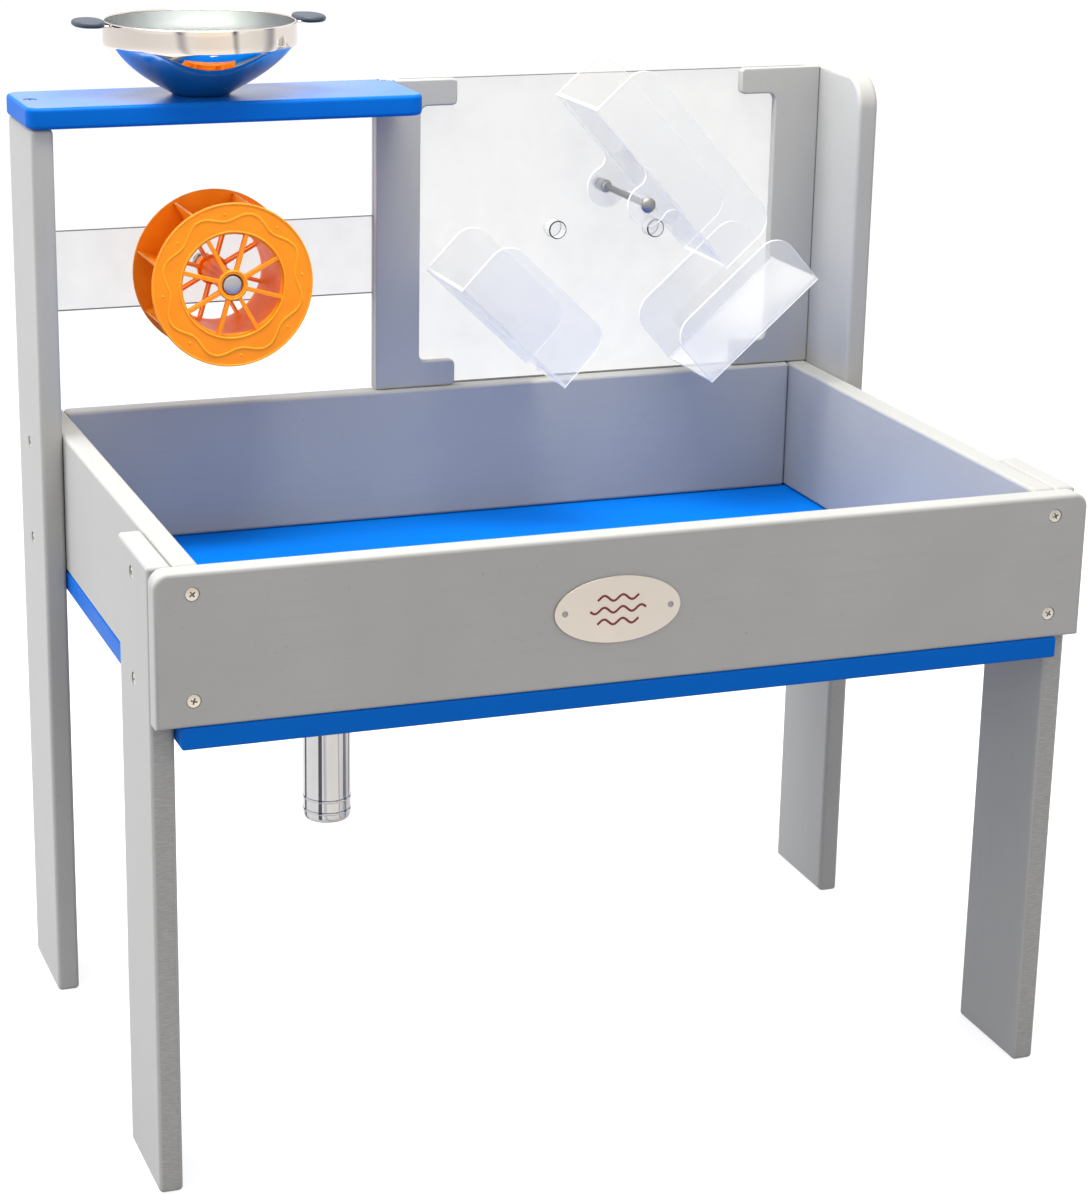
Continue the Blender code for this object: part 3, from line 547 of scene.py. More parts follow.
def plate_mesh(outlines, plane, thickness, edge, resolution=3):
    """A flat piece with rounded edges; the first outline is its outside and the others are holes."""
    curve = bpy.data.curves.new("outline", "CURVE")
    curve.dimensions = "2D"
    curve.fill_mode = "BOTH"
    curve.extrude = thickness / 2 - edge
    curve.bevel_depth = edge
    curve.bevel_resolution = resolution
    curve.offset = -edge
    for index, outline in enumerate(outlines):
        if (signed_area(outline) > 0) != (index == 0):
            outline = outline[::-1]
        trace(curve, [(u, v, 0) for u, v in outline])
    mesh = mesh_of(curve)
    shape = bmesh.new()
    shape.from_mesh(mesh)
    bmesh.ops.remove_doubles(shape, verts=shape.verts, dist=1e-6)
    bmesh.ops.transform(shape, matrix=PLANES[plane].to_4x4(), verts=shape.verts)
    bmesh.ops.recalc_face_normals(shape, faces=shape.faces)
    shape.to_mesh(mesh)
    shape.free()
    return mesh


def plate(name, outlines, plane, middle, thickness, edge, *materials):
    made = add(name, plate_mesh(outlines, plane, thickness, edge), *materials)
    made.location = middle
    return settle(made)


def block(name, low, high, edge, *materials, segments=4):
    shape = bmesh.new()
    bmesh.ops.create_cube(shape, size=1)
    bmesh.ops.scale(shape, vec=Vector(high) - Vector(low), verts=shape.verts)
    made = add(name, baked(name, shape), *materials)
    made.location = (Vector(low) + Vector(high)) / 2
    bevel = made.modifiers.new("rounded", "BEVEL")
    bevel.width = edge
    bevel.segments = segments
    return made


def lathe(name, profile, foot, axis, *materials, steps=96, closed=False):
    """A profile of (radius, height) points turned about an axis through foot."""
    shape = bmesh.new()
    rim = [shape.verts.new((radius, 0, height)) for radius, height in profile]
    for a, b in zip(rim, rim[1:]):
        shape.edges.new((a, b))
    if closed:
        shape.edges.new((rim[-1], rim[0]))
    bmesh.ops.spin(
        shape,
        geom=shape.verts[:] + shape.edges[:],
        cent=(0, 0, 0),
        axis=(0, 0, 1),
        angle=2 * math.pi,
        steps=steps,
        use_merge=True,
    )
    bmesh.ops.remove_doubles(shape, verts=shape.verts, dist=1e-6)
    bmesh.ops.recalc_face_normals(shape, faces=shape.faces)
    made = add(name, baked(name, shape), *materials)
    made.location = foot
    made.rotation_euler = Vector(axis).to_track_quat("Z", "Y").to_euler()
    return settle(made)


def bead(name, points, radius, material, closed=True):
    """A raised round line along some points."""
    curve = bpy.data.curves.new(name, "CURVE")
    curve.dimensions = "3D"
    curve.bevel_depth = radius
    curve.bevel_resolution = 3
    curve.use_fill_caps = True
    trace(curve, points, closed)
    mesh = mesh_of(curve)
    mesh.shade_smooth()
    return add(name, mesh, material)


def joined(name, pieces):
    """One object from several, with their places and materials kept."""
    shape = bmesh.new()
    materials = []
    for piece in pieces:
        part = bmesh.new()
        part.from_mesh(piece.data)
        own = [slot.material for slot in piece.material_slots]
        for material in own:
            if material not in materials:
                materials.append(material)
        for face in part.faces:
            face.material_index = materials.index(own[face.material_index])
        part.transform(piece.matrix_basis)
        temporary = baked("part", part)
        shape.from_mesh(temporary)
        bpy.data.meshes.remove(temporary)
    for piece in pieces:
        bpy.data.objects.remove(piece)
    made = add(name, baked(name, shape), *materials)
    smooth(made.data)
    even_normals(made)
    return made


def cut_edges(obj, axis):
    """Gives the edges round a sheet that lies across an axis the second material."""
    second_material(obj, lambda face: abs(face.normal[axis]) <= FACING)


def thread(radius, depth, top, pitch, turns):
    """The zigzag profile of a thread, from its top down."""
    steps = [(turn, below) for turn in range(turns) for below in (0, 1)]
    return [(radius - depth * below, top - (turn + below / 2) * pitch) for turn, below in steps]


UP, FORWARD = (0, 0, 1), (0, -1, 0)


def along_y(node):
    """Where a round CAD node that lies along Y ends at the back, its length and its radius."""
    low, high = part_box(node)
    length, radius = high.y - low.y, (high.x - low.x) / 2
    return Vector(((low.x + high.x) / 2, high.y, (low.z + high.z) / 2)), length, radius


def along_z(node):
    """Where a round CAD node that stands upright ends below, its height and its radius."""
    low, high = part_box(node)
    height, radius = high.z - low.z, (high.x - low.x) / 2
    return Vector(((low.x + high.x) / 2, (low.y + high.y) / 2, low.z)), height, radius


# ------------------------ screws
def screw_mesh(radius, domed):
    """A cross-recessed screw head that faces +Z, with its face at zero and its neck below."""
    height = radius * (0.42 if domed else 0.06)
    profile = [(0, height)]
    for i in range(1, 9):
        t = i / 8
        profile.append((radius * 0.96 * t, height * (1 - t**3)))
    neck = -radius * 0.62
    profile += [(radius, -0.0002), (radius, -0.0005), (radius * 0.45, neck), (0, neck)]
    head = lathe("head", profile, (0, 0, 0), UP, screw_nickel, recess_painted_shade, steps=48)
    # The cross and the well are cut with the painted-shade material, so the recess shows painted shade.
    arms = []
    for turn in (math.radians(20), math.radians(110)):
        half = Vector((radius * 0.50, radius * 0.105, radius * 0.5))
        arm = block("arm", -half, half, radius * 0.03, recess_painted_shade, segments=2)
        arm.location = (0, 0, height)
        arm.rotation_euler = (0, 0, turn)
        settle(arm)
        arms.append(arm)
    top = height + 0.001
    profile = [(0, top), (radius * 0.24, top), (radius * 0.20, -radius * 0.45), (0, -radius * 0.5)]
    well = lathe("well", profile, (0, 0, 0), UP, recess_painted_shade, steps=24)
    head.modifiers.clear()
    for cutter in (*arms, well):
        cutter.modifiers.clear()
        boolean = head.modifiers.new("recess", "BOOLEAN")
        boolean.operation = "DIFFERENCE"
        boolean.object = cutter
        boolean.material_mode = "TRANSFER"
    settle(head)
    mesh = head.data
    for cutter in (*arms, well, head):
        bpy.data.objects.remove(cutter)
    return mesh


flat_head = screw_mesh(0.0053, domed=False)
small_head = screw_mesh(0.0048, domed=False)
pan_head = screw_mesh(0.0040, domed=True)
SINK_RADIUS = 0.0058
countersinks = {}


def place_head(name, mesh, place, rotation):
    made = bpy.data.objects.new(name, mesh)
    scene_collection.objects.link(made)
    made.location = place
    made.rotation_euler = rotation
    even_normals(made)
    return made


def screw(node, outward, mesh, sunk=0.0007, board=None):
    low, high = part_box(node)
    middle = (low + high) / 2
    outward = Vector(outward)
    reach = (high - low) / 2
    face = middle + Vector((outward.x * reach.x, outward.y * reach.y, outward.z * reach.z))
    turn = Matrix.Rotation(math.radians(sum(map(ord, node)) * 37 % 90), 4, "Z")
    facing = outward.to_track_quat("Z", "Y").to_matrix().to_4x4()
    made = place_head(node + "_head", mesh, face - outward * sunk, (facing @ turn).to_euler())
    belongs(made, "table", "screw_metal", node)
    if board:
        countersinks.setdefault(board, []).append((face, outward))


for number in range(1, 5):
    screw(f"apron_screw_{number}", FORWARD, flat_head, board="front_apron")
for board_name in ("front_left_leg", "front_right_leg", "rear_left_post", "rear_right_post"):
    outward = (-1 if "left" in board_name else 1, 0, 0)
    leg = board_name.rsplit("_", 1)[0]
    for number in (1, 2):
        screw(f"{leg}_screw_{number}", outward, small_head, board=board_name)
for side in ("left", "right"):
    screw(f"shelf_screw_{side}", UP, flat_head, board="shelf")
    for number in (1, 2):
        screw(f"{side}_bracket_screw_{number}", (0, 1, 0), pan_head, sunk=0.0016)


def sink_holes(obj, node):
    """Cuts the shallow rings that the screw heads of a board sit in, and settles the board."""
    if node not in countersinks:
        return settle(obj)
    shape = bmesh.new()
    for face, outward in countersinks[node]:
        turn = outward.to_track_quat("Z", "Y").to_matrix().to_4x4()
        bmesh.ops.create_cone(
            shape,
            cap_ends=True,
            segments=40,
            radius1=SINK_RADIUS * 0.92,
            radius2=SINK_RADIUS * 1.06,
            depth=0.004,
            matrix=Matrix.Translation(face) @ turn,
        )
    cutter = add("sinks", baked("sinks", shape))
    boolean = obj.modifiers.new("sinks", "BOOLEAN")
    boolean.operation = "DIFFERENCE"
    boolean.object = cutter
    settle(obj)
    bpy.data.objects.remove(cutter)
    return obj


# ------------------------ boards, legs and posts
EDGE, POST_EDGE = 0.0032, 0.0038
for node, grain, edge in (
    ("back_board", "X", EDGE),
    ("left_side_board", "Y", EDGE),
    ("right_side_board", "Y", EDGE),
    ("rear_left_post", "Z", POST_EDGE),
):
    low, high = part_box(node)
    board = block(node + "_wood", low, high, edge, grey_paint[grain])
    belongs(sink_holes(board, node), "table", "grey_paint", node)

for side in ("left", "right"):
    node = f"front_{side}_leg"
    low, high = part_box(node)
    leg = sink_holes(block(node + "_wood", low, high, POST_EDGE, grey_paint["Z"], grey_sawn), node)
    second_material(leg, lambda face: abs(face.normal.y) > FACING)
    belongs(leg, "table", "grey_paint", node)


def outlined(node, plane, corners, edge, paint_material):
    """A board with some rounded corners, as its CAD node's box gives its size."""
    low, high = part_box(node)
    middle, half = (low + high) / 2, (high - low) / 2
    u, v, w = {"XZ": (0, 2, 1), "YZ": (1, 2, 0), "XY": (0, 1, 2)}[plane]
    outline = rounded_box((-half[u], half[u]), (-half[v], half[v]), corners)
    made = add(node + "_wood", plate_mesh([outline], plane, 2 * half[w], edge), paint_material)
    made.location = middle
    return sink_holes(made, node)


apron = outlined("front_apron", "XZ", (0, 0, 0.012, 0.012), EDGE, grey_paint["X"])
belongs(apron, "table", "grey_paint", "front_apron")
post = outlined("rear_right_post", "YZ", (0, 0, 0, 0.028), POST_EDGE, grey_paint["Z"])
belongs(post, "table", "grey_paint", "rear_right_post")
shelf = outlined("shelf", "XY", (0.013,) * 4, 0.0034, blue_paint)
shelf.data.materials.append(blue_gloss)
second_material(shelf, upward)
belongs(shelf, "table", "blue_paint", "shelf")
low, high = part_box("base_panel")
floor_panel = settle(block("base_panel_wood", low, high, 0.0022, blue_paint, blue_painted_light_top))
# The panel's upward faces take the lighter blue of painted light.
second_material(floor_panel, upward)
belongs(floor_panel, "table", "blue_paint", "base_panel")


def bracket(side):
    """A C-shaped wooden bracket, with the fillets and soft corners of a routed piece."""
    node = side + "_bracket"
    low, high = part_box(node)
    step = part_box("shelf")[0].z - 0.0003
    arm, fillet, soft, nick, chip = 0.0235, 0.007, 0.003, 0.004, 0.0012
    if side == "left":
        outer, inner, tip = low.x, -0.0215, high.x
        turn = 1
    else:
        outer, inner, tip = high.x, 0.3218, low.x
        turn = -1
    low_z, high_z = low.z + arm, high.z - arm
    fillet_x = inner + turn * fillet
    ends = (180, 270) if turn > 0 else (0, -90)
    points = [(outer, low.z), (tip - turn * soft, low.z), (tip, low.z + soft)]
    points += [(tip, low_z - nick), (tip - turn * chip, low_z - chip), (tip - turn * nick, low_z)]
    points += arc((fillet_x, low_z + fillet), fillet, ends[1], ends[0], 8)
    points += arc((fillet_x, high_z - fillet), fillet, ends[0], 90, 8)
    points += [(tip - turn * nick, high_z), (tip - turn * chip, high_z + chip), (tip, high_z + nick)]
    points += [(tip, high.z - soft), (tip - turn * soft, high.z)]
    if side == "left":
        points += [(-0.0460, high.z), (-0.0460, step), (outer, step)]
    else:
        points += [(outer, high.z)]
    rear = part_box("clear_back_panel")[0].y - 0.0002
    middle = (0, (low.y + rear) / 2, 0)
    made = plate(node + "_wood", [points], "XZ", middle, rear - low.y, 0.0016, grey_paint["Z"])
    strip_low = Vector((min(outer, outer + turn * 0.012), rear, low.z))
    strip_high = Vector((max(outer, outer + turn * 0.012), high.y, step if side == "left" else high.z))
    strip = block(node + "_rear", strip_low, strip_high, 0.0010, grey_paint["Z"], segments=2)
    settle(strip)
    return made, strip


for side in ("left", "right"):
    front, rear = bracket(side)
    belongs(front, "table", "grey_paint", side + "_bracket")
    belongs(rear, "table", "grey_paint")

# ------------------------ clear sheets
for node in ("clear_back_panel", "clear_crossbar"):
    low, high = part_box(node)
    middle, half = (low + high) / 2, (high - low) / 2
    outline = rounded_box((-half.x, half.x), (-half.z, half.z), (0.0012,) * 4, 3)
    # The sheet's edges take the near-black of painted shade.
    sheet = plate(node + "_sheet", [outline], "XZ", middle, 2 * half.y, 0.0004, clear_sheet, painted_shade_edge)
    cut_edges(sheet, 1)
    belongs(sheet, "table", "clear_acrylic", node)


def side_outline(length):
    half = length / 2
    return rounded_box((-half, half), (0, CHANNEL_HEIGHT), (0, 0, CHANNEL_CORNER, CHANNEL_CORNER), 14)


def trough_outline():
    reach = math.sqrt((LUG_RADIUS + LUG_FILLET) ** 2 - (LUG_DROP - LUG_FILLET) ** 2)
    lean = math.degrees(math.atan2(LUG_DROP - LUG_FILLET, reach))
    lug = arc((-reach, -LUG_FILLET), LUG_FILLET, 90, -lean, 10)[:-1]
    lug += arc((0, -LUG_DROP), LUG_RADIUS, 180 - lean, 360 + lean, 40)
    lug += arc((reach, -LUG_FILLET), LUG_FILLET, 180 + lean, 90, 10)[1:]
    outline = side_outline(TROUGH_LENGTH)
    return outline[:1] + lug + outline[1:]


def channel(name, outline, length, place, turn, holes=()):
    """Two clear walls and a floor bonded between them, with a painted glow on their cut edges."""
    depth = CHANNEL_DEPTH / 2 - SHEET_WALL / 2
    pieces = []
    for y in (-depth, depth):
        mesh = plate_mesh([outline, *holes], "XZ", SHEET_WALL, 0.0003, 2)
        wall = add("wall", mesh, clear_channel, painted_glow_edge)
        wall.location.y = y
        cut_edges(wall, 1)
        pieces.append(wall)
    inner = CHANNEL_DEPTH / 2 - SHEET_WALL - 0.0001
    half = length / 2
    outline = rounded_box((-half, half), (-inner, inner), (0,) * 4)
    base = add("base", plate_mesh([outline], "XY", SHEET_WALL, 0.0003, 2), clear_channel, painted_glow_edge)
    base.location.z = SHEET_WALL / 2 + 0.0003
    cut_edges(base, 2)
    pieces.append(base)
    made = joined(name, pieces)
    made.location = place
    made.rotation_euler = (0, turn, 0)
    return made


low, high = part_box("tipping_trough")
channel_y = (low.y + high.y) / 2
lift = Vector((math.sin(TROUGH_TILT), 0, math.cos(TROUGH_TILT))) * LUG_DROP
place = Vector((PIVOT.x, channel_y, PIVOT.z)) + lift
holes = [circle(BOLT_HOLE, 32, (0, -LUG_DROP))]
trough = channel("tipping_trough_clear", trough_outline(), TROUGH_LENGTH, place, TROUGH_TILT, holes)
belongs(trough, "trough", "clear_acrylic", "tipping_trough")
block_length, block_height, block_foot = 0.080, 0.020, 0.004
for side, (x, z, turn) in CHUTES.items():
    outline = side_outline(CHUTE_LENGTH)
    chute = channel(side + "_chute_clear", outline, CHUTE_LENGTH, (x, channel_y, z), turn)
    belongs(chute, "table", "clear_acrylic", side + "_chute")
    node = side + "_chute_block"
    near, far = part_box(node)[0].y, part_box(node)[1].y
    low, high = (-block_length / 2, near, block_foot), (block_length / 2, far, block_foot + block_height)
    pad = block(node + "_clear", low, high, 0.0006, clear_spacer, segments=2)
    middle = Matrix.Rotation(turn, 4, "Y") @ Vector((0, 0, block_foot + block_height / 2))
    pad.location = Vector((x, (near + far) / 2, z)) + middle
    pad.rotation_euler = (0, turn, 0)
    belongs(settle(pad), "table", "clear_acrylic", node)

for side in ("left", "right"):
    node = "stop_peg_" + side
    foot, length, radius = along_y(node)
    profile = [(0, length), (radius - 0.0011, length), (radius - 0.0003, length - 0.0003)]
    profile += [(radius, length - 0.0011)]
    profile += [(radius, 0.0006), (radius - 0.0004, 0), (0, 0)]
    peg = lathe(node + "_clear", profile, foot, FORWARD, clear_channel, painted_shade_edge, steps=64)

    def at_rim(face):
        out = math.hypot(face.center.x, face.center.y)
        return out > radius * 0.86 and not 0.002 < face.center.z < length - 0.002

    # The peg's rim takes the near-black of painted shade.
    second_material(peg, at_rim)
    belongs(peg, "table", "clear_acrylic", node)

# ------------------------ the trough's bolt, spacer and nuts

def hex_nut(node, bore):
    """A nut with chamfered corners, and the end of its thread just inside."""
    low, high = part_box(node)
    radius = (high.x - low.x) / 2
    middle = (low + high) / 2
    outlines = [circle(radius, 6), circle(bore, 40)]
    nut = plate(node + "_hex", outlines, "XZ", middle, high.y - low.y, 0.0006, zinc_steel)
    profile = [(radius * 0.84, 0.0009), (radius * 0.90, 0.0004), (radius * 0.90, 0)]
    profile += [(bore, 0), (bore, 0.0009)]
    foot = (middle.x, high.y - 0.0002, middle.z)
    washer = lathe(node + "_collar", profile, foot, (0, 1, 0), zinc_steel, closed=True)
    belongs(nut, "table", "steel", node)
    belongs(washer, "table", "steel")


foot, length, head = along_y("trough_bolt")
stem = 0.0030
shoulder = length - 0.0035
profile = [(0, length), (head * 0.30, length - 0.0001), (head * 0.62, length - 0.0007)]
profile += [(head * 0.86, length - 0.0016), (head * 0.97, length - 0.0026)]
profile += [(head, shoulder + 0.0004), (head, shoulder)]
profile += [(stem + 0.0003, shoulder), (stem, shoulder - 0.0004)]
profile += thread(stem, 0.0003, 0.0150, 0.0010, 14)
profile += [(stem - 0.0005, 0), (0, 0)]
bolt = lathe("trough_bolt_turned", profile, foot, FORWARD, bolt_steel, steps=64)
belongs(bolt, "table", "steel", "trough_bolt")

for node, bore, finish, slot in (
    ("trough_spacer", BOLT_HOLE, bolt_steel, "steel"),
    ("wheel_spacer", AXLE_HOLE, orange_plastic, "orange_plastic"),
):
    foot, length, radius = along_y(node)
    edge = 0.0004
    profile = [(bore, length), (radius - edge, length), (radius, length - edge), (radius, edge)]
    profile += [(radius - edge, 0), (bore, 0)]
    ring = lathe(node + "_ring", profile, foot, FORWARD, finish, closed=True)
    belongs(ring, "table", slot, node)
hex_nut("trough_nut", BOLT_HOLE)
hex_nut("wheel_nut", AXLE_HOLE)

# ------------------------ water wheel
SPOKE = 0.0036
VANE = 0.0022
DRUM_INNER = DRUM_RADIUS - VANE
RELIEF = 0.0006


def wheel_window(index):
    """The opening between two spokes, with rounded corners towards the drum."""
    first = WHEEL_PHASE + WHEEL_PITCH * index
    last = first + WHEEL_PITCH
    points = []
    for radius, start, end in ((HUB_RADIUS + 0.0004, last, first), (DRUM_RADIUS - 0.0006, first, last)):
        turn = math.copysign(math.asin(SPOKE / 2 / radius), end - start)
        points += arc((0, 0), radius, math.degrees(start + turn), math.degrees(end - turn), 12)
    return points


def paddle(name, near, far, back, front, angle, material):
    """A flat bar that points out from the wheel's axis at an angle."""
    bar = block(name, (near, back, -VANE / 2), (far, front, VANE / 2), 0.0004, material, segments=2)
    settle(bar)
    reach = (near + far) / 2
    bar.location = (reach * math.cos(angle), bar.location.y, reach * math.sin(angle))
    bar.rotation_euler = (0, -angle, 0)
    return bar


def wheel_part(node, pieces):
    made = joined(node + "_moulded", pieces)
    made.location = (WHEEL_AXIS.x, 0, WHEEL_AXIS.z)
    belongs(made, "wheel", "orange_plastic", node)


def wheel_disc(node, outward, bore):
    """A moulded disc with raised lips, a raised wavy line and eight small studs on its outer face."""
    low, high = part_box(node)
    face_y = low.y if outward < 0 else high.y
    skin = face_y - outward * RELIEF
    inside = high.y if outward < 0 else low.y
    outlines = [circle(WHEEL_RADIUS, 160), circle(bore, 64), *map(wheel_window, range(WHEEL_VANES))]
    mesh = plate_mesh(outlines, "XZ", abs(inside - skin), 0.0005)
    disc = add("disc", mesh, orange_plastic)
    disc.location = (0, (inside + skin) / 2, 0)
    pieces = [disc]

    def raised(radius_at, half_width, steps=240):
        angles = [2 * math.pi * i / steps for i in range(steps)]
        points = [(radius_at(a) * math.cos(a), 0, radius_at(a) * math.sin(a)) for a in angles]
        line = bead("line", points, half_width, orange_painted_highlight)
        line.scale.y = RELIEF / half_width
        line.location.y = skin
        pieces.append(line)

    def wave(angle):
        return 0.0587 + 0.0037 * math.cos(WHEEL_VANES * (angle - WHEEL_PHASE))

    # The raised lines, the studs and the ribs are in the lighter orange of painted highlight.
    raised(lambda angle: WHEEL_RADIUS - 0.0010, 0.0009)
    raised(lambda angle: DRUM_RADIUS + 0.0004, 0.0009)
    raised(wave, 0.0012)
    raised(lambda angle: HUB_RADIUS - 0.0008, 0.0008, 96)
    for k in range(WHEEL_VANES):
        spoke = WHEEL_PHASE + WHEEL_PITCH * k
        profile = [(0, RELIEF), (0.0007, RELIEF * 0.8), (0.0012, RELIEF * 0.3)]
        profile += [(0.0014, -0.0004), (0, -0.0004)]
        stud = lathe("stud", profile, (0, 0, 0), (0, outward, 0), orange_painted_highlight, steps=20)
        angle = spoke + WHEEL_PITCH / 2
        stud.location = (0.0613 * math.cos(angle), skin, 0.0613 * math.sin(angle))
        pieces.append(stud)
        near, far = HUB_RADIUS - 0.0010, DRUM_INNER + 0.0006
        back, front = sorted((inside, inside - outward * 0.0050))
        pieces.append(paddle("rib", near, far, back, front, spoke, orange_painted_highlight))
    wheel_part(node, pieces)


wheel_disc("wheel_front_disc", -1, 0.0094)
wheel_disc("wheel_rear_disc", 1, 0.0051)

low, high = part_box("wheel_drum")
drum_width = high.y - low.y
tip_radius = WHEEL_RADIUS - 0.0015
outlines = [circle(DRUM_RADIUS, 160), circle(DRUM_INNER, 160)]
drum = add("drum", plate_mesh(outlines, "XZ", drum_width, 0.0003, 1), orange_plastic)
drum.location.y = (low.y + high.y) / 2
pieces = [drum]
for k in range(WHEEL_VANES):
    angle = WHEEL_PHASE + WHEEL_PITCH * k
    near = DRUM_RADIUS - 0.0008
    pieces.append(paddle("vane", near, tip_radius, low.y, high.y, angle, orange_plastic))
wheel_part("wheel_drum", pieces)

foot, length, radius = along_y("wheel_hub")
bore, recess, recess_depth = 0.00508, 0.0090, 0.004
waist, step = radius - 0.0012, length - recess_depth
profile = [(recess, length), (radius, length), (radius, length - 0.006), (waist, length - 0.010)]
profile += [(waist, 0.010), (radius, 0.006), (radius, 0), (bore, 0), (bore, step), (recess, step)]
hub = lathe("wheel_hub_moulded", profile, foot, FORWARD, orange_plastic, closed=True)
belongs(hub, "wheel", "orange_plastic", "wheel_hub")

foot, length, radius = along_y("wheel_axle")
cap = 0.0065
stem = 0.0050
profile = [(0, length), (radius - 0.0022, length - 0.0001), (radius - 0.0008, length - 0.0004)]
profile += [(radius, length - 0.0012), (radius, length - cap), (stem, length - cap)]
profile += thread(stem, 0.0004, 0.0150, 0.0012, 12)
profile += [(0.0045, 0), (0, 0)]
axle = lathe("wheel_axle_turned", profile, foot, FORWARD, zinc_steel)
belongs(axle, "table", "steel", "wheel_axle")
# A black rubber ring in the gap round the axle's cap: painted shade, a dark ring where the gap lies in
# shade, not a real seal.
shade_ring_top = length - 0.0030
outer, inner, shade_ring_bottom = radius + 0.0007, radius - 0.0003, shade_ring_top - 0.0012
profile = [(outer, shade_ring_top), (outer, shade_ring_bottom), (inner, shade_ring_bottom), (inner, shade_ring_top)]
seal = lathe("wheel_axle_shade_ring", profile, foot, FORWARD, black_rubber, closed=True)
belongs(seal, "table", "grip_rubber")

# ------------------------ bowl
bowl_foot, bowl_height, bowl_radius = along_z("mixing_bowl")
BAND, FOOT, WALL = 0.0175, 0.0240, 0.0014


def bowl_side(inset, steps=40):
    """The side from the rim down: an upright band, a soft shoulder, a straight flank, the foot."""
    outside = bowl_radius - inset
    points = [(outside, bowl_height - 0.0009 * (inset == 0)), (outside, bowl_height - BAND + 0.004)]
    shoulder = bowl_height - BAND - 0.001
    for i in range(steps + 1):
        t = i / steps
        bulge = 0.0030 * math.sin(math.pi * t**0.75)
        radius = outside + (FOOT - inset / 2 - outside) * t + bulge
        radius = min(radius, outside - 0.00002 * i)
        height = shoulder + (inset * 1.2 - shoulder) * t - bulge * 0.8
        points.append((radius, max(height, inset * 1.2)))
    return points


profile = [(0, WALL * 1.2), *bowl_side(WALL)[::-1], (bowl_radius - WALL / 2, bowl_height)]
profile += [*bowl_side(0), (0, 0)]
bowl = lathe("mixing_bowl_spun", profile, bowl_foot, UP, mirror_steel, brushed_steel, steps=192)


def bowl_inside(face):
    inward = face.normal.x * face.center.x + face.normal.y * face.center.y
    within = math.hypot(face.center.x, face.center.y) < bowl_radius - WALL * 0.9
    return inward < -1e-4 or (within and face.normal.z > 0.2)


second_material(bowl, bowl_inside)
belongs(bowl, "bowl", "mirror_steel", "mixing_bowl")
rim_points = [(x, y, 0) for x, y in circle(bowl_radius - 0.0010, 160)]
rim = bead("bowl_rim_bead", rim_points, 0.0009, mirror_steel)
rim.location = bowl_foot + Vector((0, 0, bowl_height - 0.0009))
belongs(rim, "bowl", "mirror_steel")

for side, sign in (("left", -1), ("right", 1)):
    node = "bowl_grip_" + side
    low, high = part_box(node)
    inner = low.x if sign > 0 else high.x
    outer = high.x if sign > 0 else low.x
    half_x, half_y = abs(outer - inner) / 2 - 0.0015, (high.y - low.y) / 2 - 0.0005
    outline = []
    for i in range(72):
        angle = 2 * math.pi * i / 72
        u = math.copysign(abs(math.cos(angle)) ** 0.86, math.cos(angle))
        v = math.copysign(abs(math.sin(angle)) ** 0.86, math.sin(angle))
        outline.append((half_x * u, half_y * v * (1 - 0.10 * u * sign)))
    middle = ((outer - sign * half_x), (low.y + high.y) / 2, (low.z + high.z) / 2)
    grip = plate(node + "_pad", [outline], "XY", middle, high.z - low.z, 0.0024, grip_silicone)
    belongs(grip, "bowl", "grip_rubber", node)
    root = bowl_foot.x + sign * (bowl_radius - 0.0008)
    strap_end = outer - sign * 1.35 * half_x
    start, end = sorted((root, strap_end))
    low = (start, bowl_foot.y - 0.0150, bowl_foot.z + bowl_height - 0.0030)
    high = (end, bowl_foot.y + 0.0150, bowl_foot.z + bowl_height - 0.0014)
    strap = block("bowl_strap_" + side, low, high, 0.0006, mirror_steel)
    belongs(settle(strap), "bowl", "mirror_steel")

# ------------------------ badge
low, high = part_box("badge_plate")
badge_middle, half = (low + high) / 2, (high - low) / 2
oval = [(half.x * x, half.z * y) for x, y in circle(1, 128)]
badge = plate("badge_plate_pressed", [oval], "XZ", badge_middle, 2 * half.y, 0.0006, badge_cream)
belongs(badge, "table", "badge_enamel", "badge_plate")
badge_face = low.y
for number, (width, drop) in enumerate(((0.034, 0.0095), (0.046, 0.0), (0.034, -0.0095)), 1):
    waves = []
    for i in range(97):
        x = -width / 2 + width * i / 96
        waves.append((x, 0, drop + 0.0022 * math.sin(2 * math.pi * x / 0.0153)))
    mark = bead(f"badge_wave_{number}", waves, 0.0010, badge_print, closed=False)
    mark.scale.y = 0.12
    mark.location = (badge_middle.x, badge_face - 0.00002, badge_middle.z)
    belongs(mark, "table", "badge_enamel")
for side in ("left", "right"):
    node = "badge_rivet_" + side
    foot, length, radius = along_y(node)
    profile = [(0, length), (radius * 0.40, length - 0.0001), (radius * 0.80, length - 0.0004)]
    profile += [(radius, length - 0.0009), (radius, length - 0.0011)]
    profile += [(radius * 0.4, length - 0.0011), (radius * 0.4, 0), (0, 0)]
    rivet = lathe(node + "_domed", profile, foot, FORWARD, bolt_steel, steps=40)
    belongs(rivet, "table", "steel", node)

# ------------------------ drain
def round_part(node, profile, slot, *materials):
    """A turned part of the drain; its profile's heights are above the CAD node's lowest point."""
    foot = along_z(node)[0]
    closed = profile[0][0] > 0
    made = lathe(node + "_turned", profile, foot, UP, *materials, steps=128, closed=closed)
    body = "plug" if node == "drain_plug" else "table"
    return belongs(made, body, slot, node)


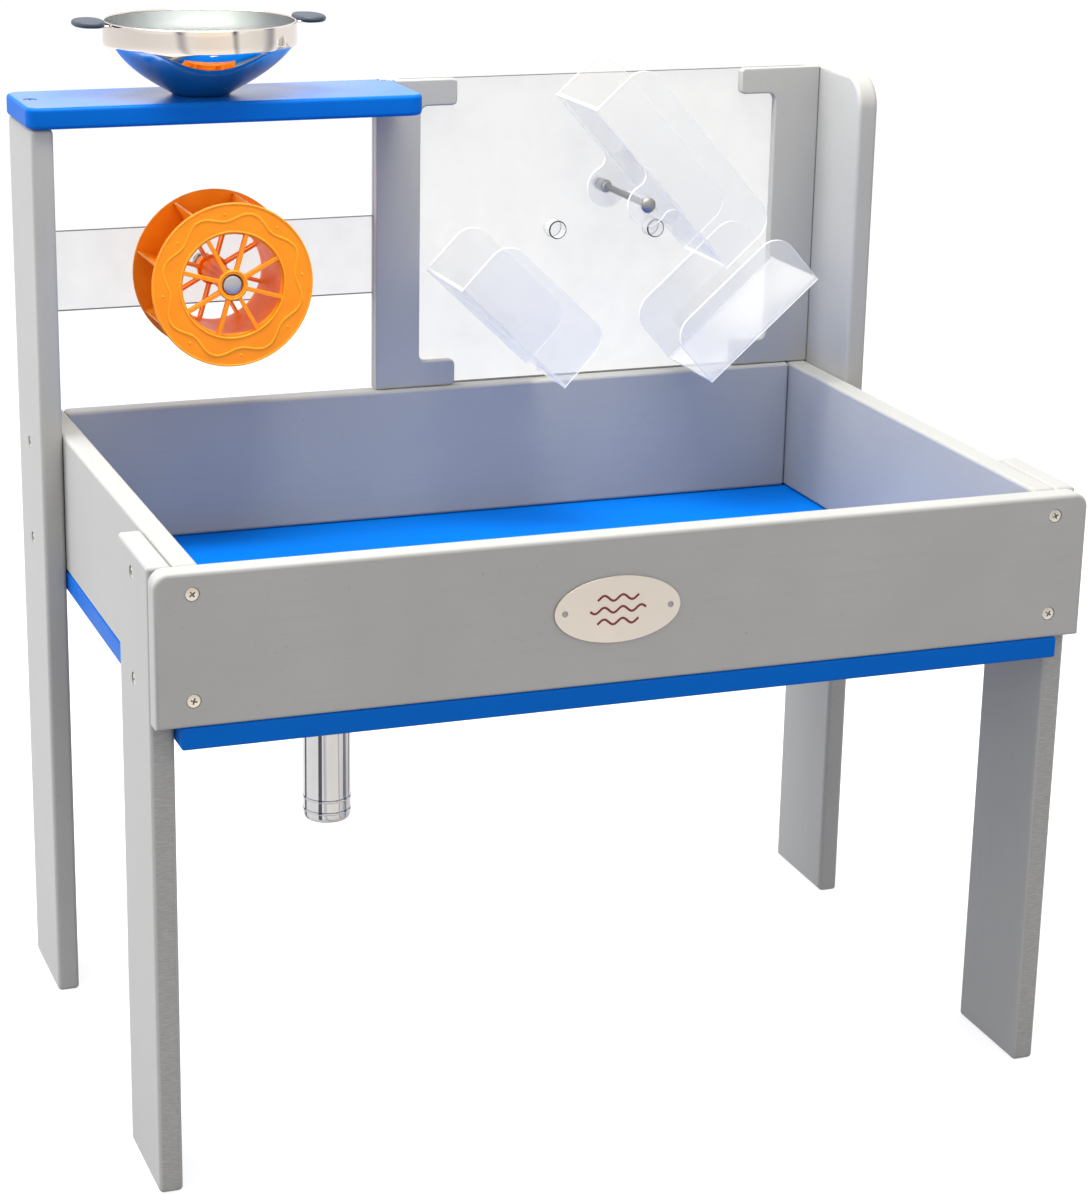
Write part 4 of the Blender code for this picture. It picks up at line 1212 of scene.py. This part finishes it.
_, pipe_height, pipe_radius = along_z("drain_pipe")
pipe_radius -= 0.0005
profile = [(pipe_radius - 0.0016, pipe_height), (pipe_radius - 0.0003, pipe_height)]
profile += [(pipe_radius, pipe_height - 0.0005)]
for height in (0.0195, 0.0086):
    for i in range(9):
        turn = math.pi * i / 8
        profile.append((pipe_radius + 0.0006 * math.sin(turn), height + 0.0013 * math.cos(turn)))
lip = [(0, 0.0040), (0.0004, 0.0022), (0.0012, 0.0008), (0.0020, 0.0002)]
lip += [(0.0028, 0.0006), (0.0030, 0.0020), (0.0016, 0.0070)]
profile += [(pipe_radius - inset, height) for inset, height in lip]
round_part("drain_pipe", profile, "chrome", chrome)

_, flange_height, flange_radius = along_z("drain_flange")
throat = 0.0150
tail = flange_height - 0.0022
profile = [(0.0170, flange_height - 0.0006), (0.0185, flange_height), (0.0220, flange_height)]
profile += [(flange_radius - 0.0040, flange_height - 0.0005), (flange_radius, tail + 0.0008)]
profile += [(flange_radius, tail), (DRAIN_TAIL, tail)]
profile += thread(DRAIN_TAIL, 0.0005, tail - 0.004, 0.0018, 24)
profile += [(DRAIN_TAIL, 0), (throat, 0), (throat, tail - 0.0080)]
round_part("drain_flange", profile, "chrome", chrome)

_, seal_height, seal_radius = along_z("drain_seal")
inner, outer = DRAIN_TAIL + 0.0003, seal_radius - 0.0006
profile = [(inner, seal_height), (outer, seal_height), (seal_radius, seal_height / 2)]
profile += [(outer, 0), (inner, 0)]
round_part("drain_seal", profile, "grip_rubber", black_rubber)

low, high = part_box("drain_nut")
nut_radius = (high.x - low.x) / 2
outlines = [circle(nut_radius, 8), circle(DRAIN_TAIL + 0.0003, 64)]
nut = plate("drain_nut_faceted", outlines, "XY", (low + high) / 2, high.z - low.z, 0.0009, chrome)
belongs(nut, "table", "chrome", "drain_nut")

_, plug_height, plug_radius = along_z("drain_plug")
knob = [(0, 0), (0.0036, 0.0002), (0.0056, 0.0016), (0.0061, 0.0040), (0.0052, 0.0070)]
knob += [(0.0043, 0.0100), (0.0044, 0.0150), (0.0060, 0.0168)]
knob += [(plug_radius - 0.0012, 0.0176), (plug_radius, 0.0198)]
profile = [(radius, plug_height - drop) for radius, drop in knob]
profile += [(throat - 0.0006, 0.0030), (throat - 0.0003, 0.0014), (throat - 0.0012, 0.0001), (0, 0)]
round_part("drain_plug", profile, "grip_rubber", black_rubber)

# ------------------------ screws under the tray
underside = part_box("base_panel")[0].z
back_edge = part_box("base_panel")[1].y
places = [(x, y) for y in (FRONT + 0.011, back_edge - 0.010) for x in (-0.30, -0.10, 0.10, 0.30)]
places += [(side * 0.356, FRONT + depth) for side in (-1, 1) for depth in (0.170, 0.330)]
for number, (x, y) in enumerate(places, 1):
    place = (x, y, underside + 0.0002)
    turn = (math.pi, 0, math.radians(number * 47 % 90))
    head = place_head(f"base_screw_{number:02d}", small_head, place, turn)
    belongs(head, "table", "screw_metal")

block("floor", (-16, -16, -0.02), (16, 16, 0), 0.001, floor_material())
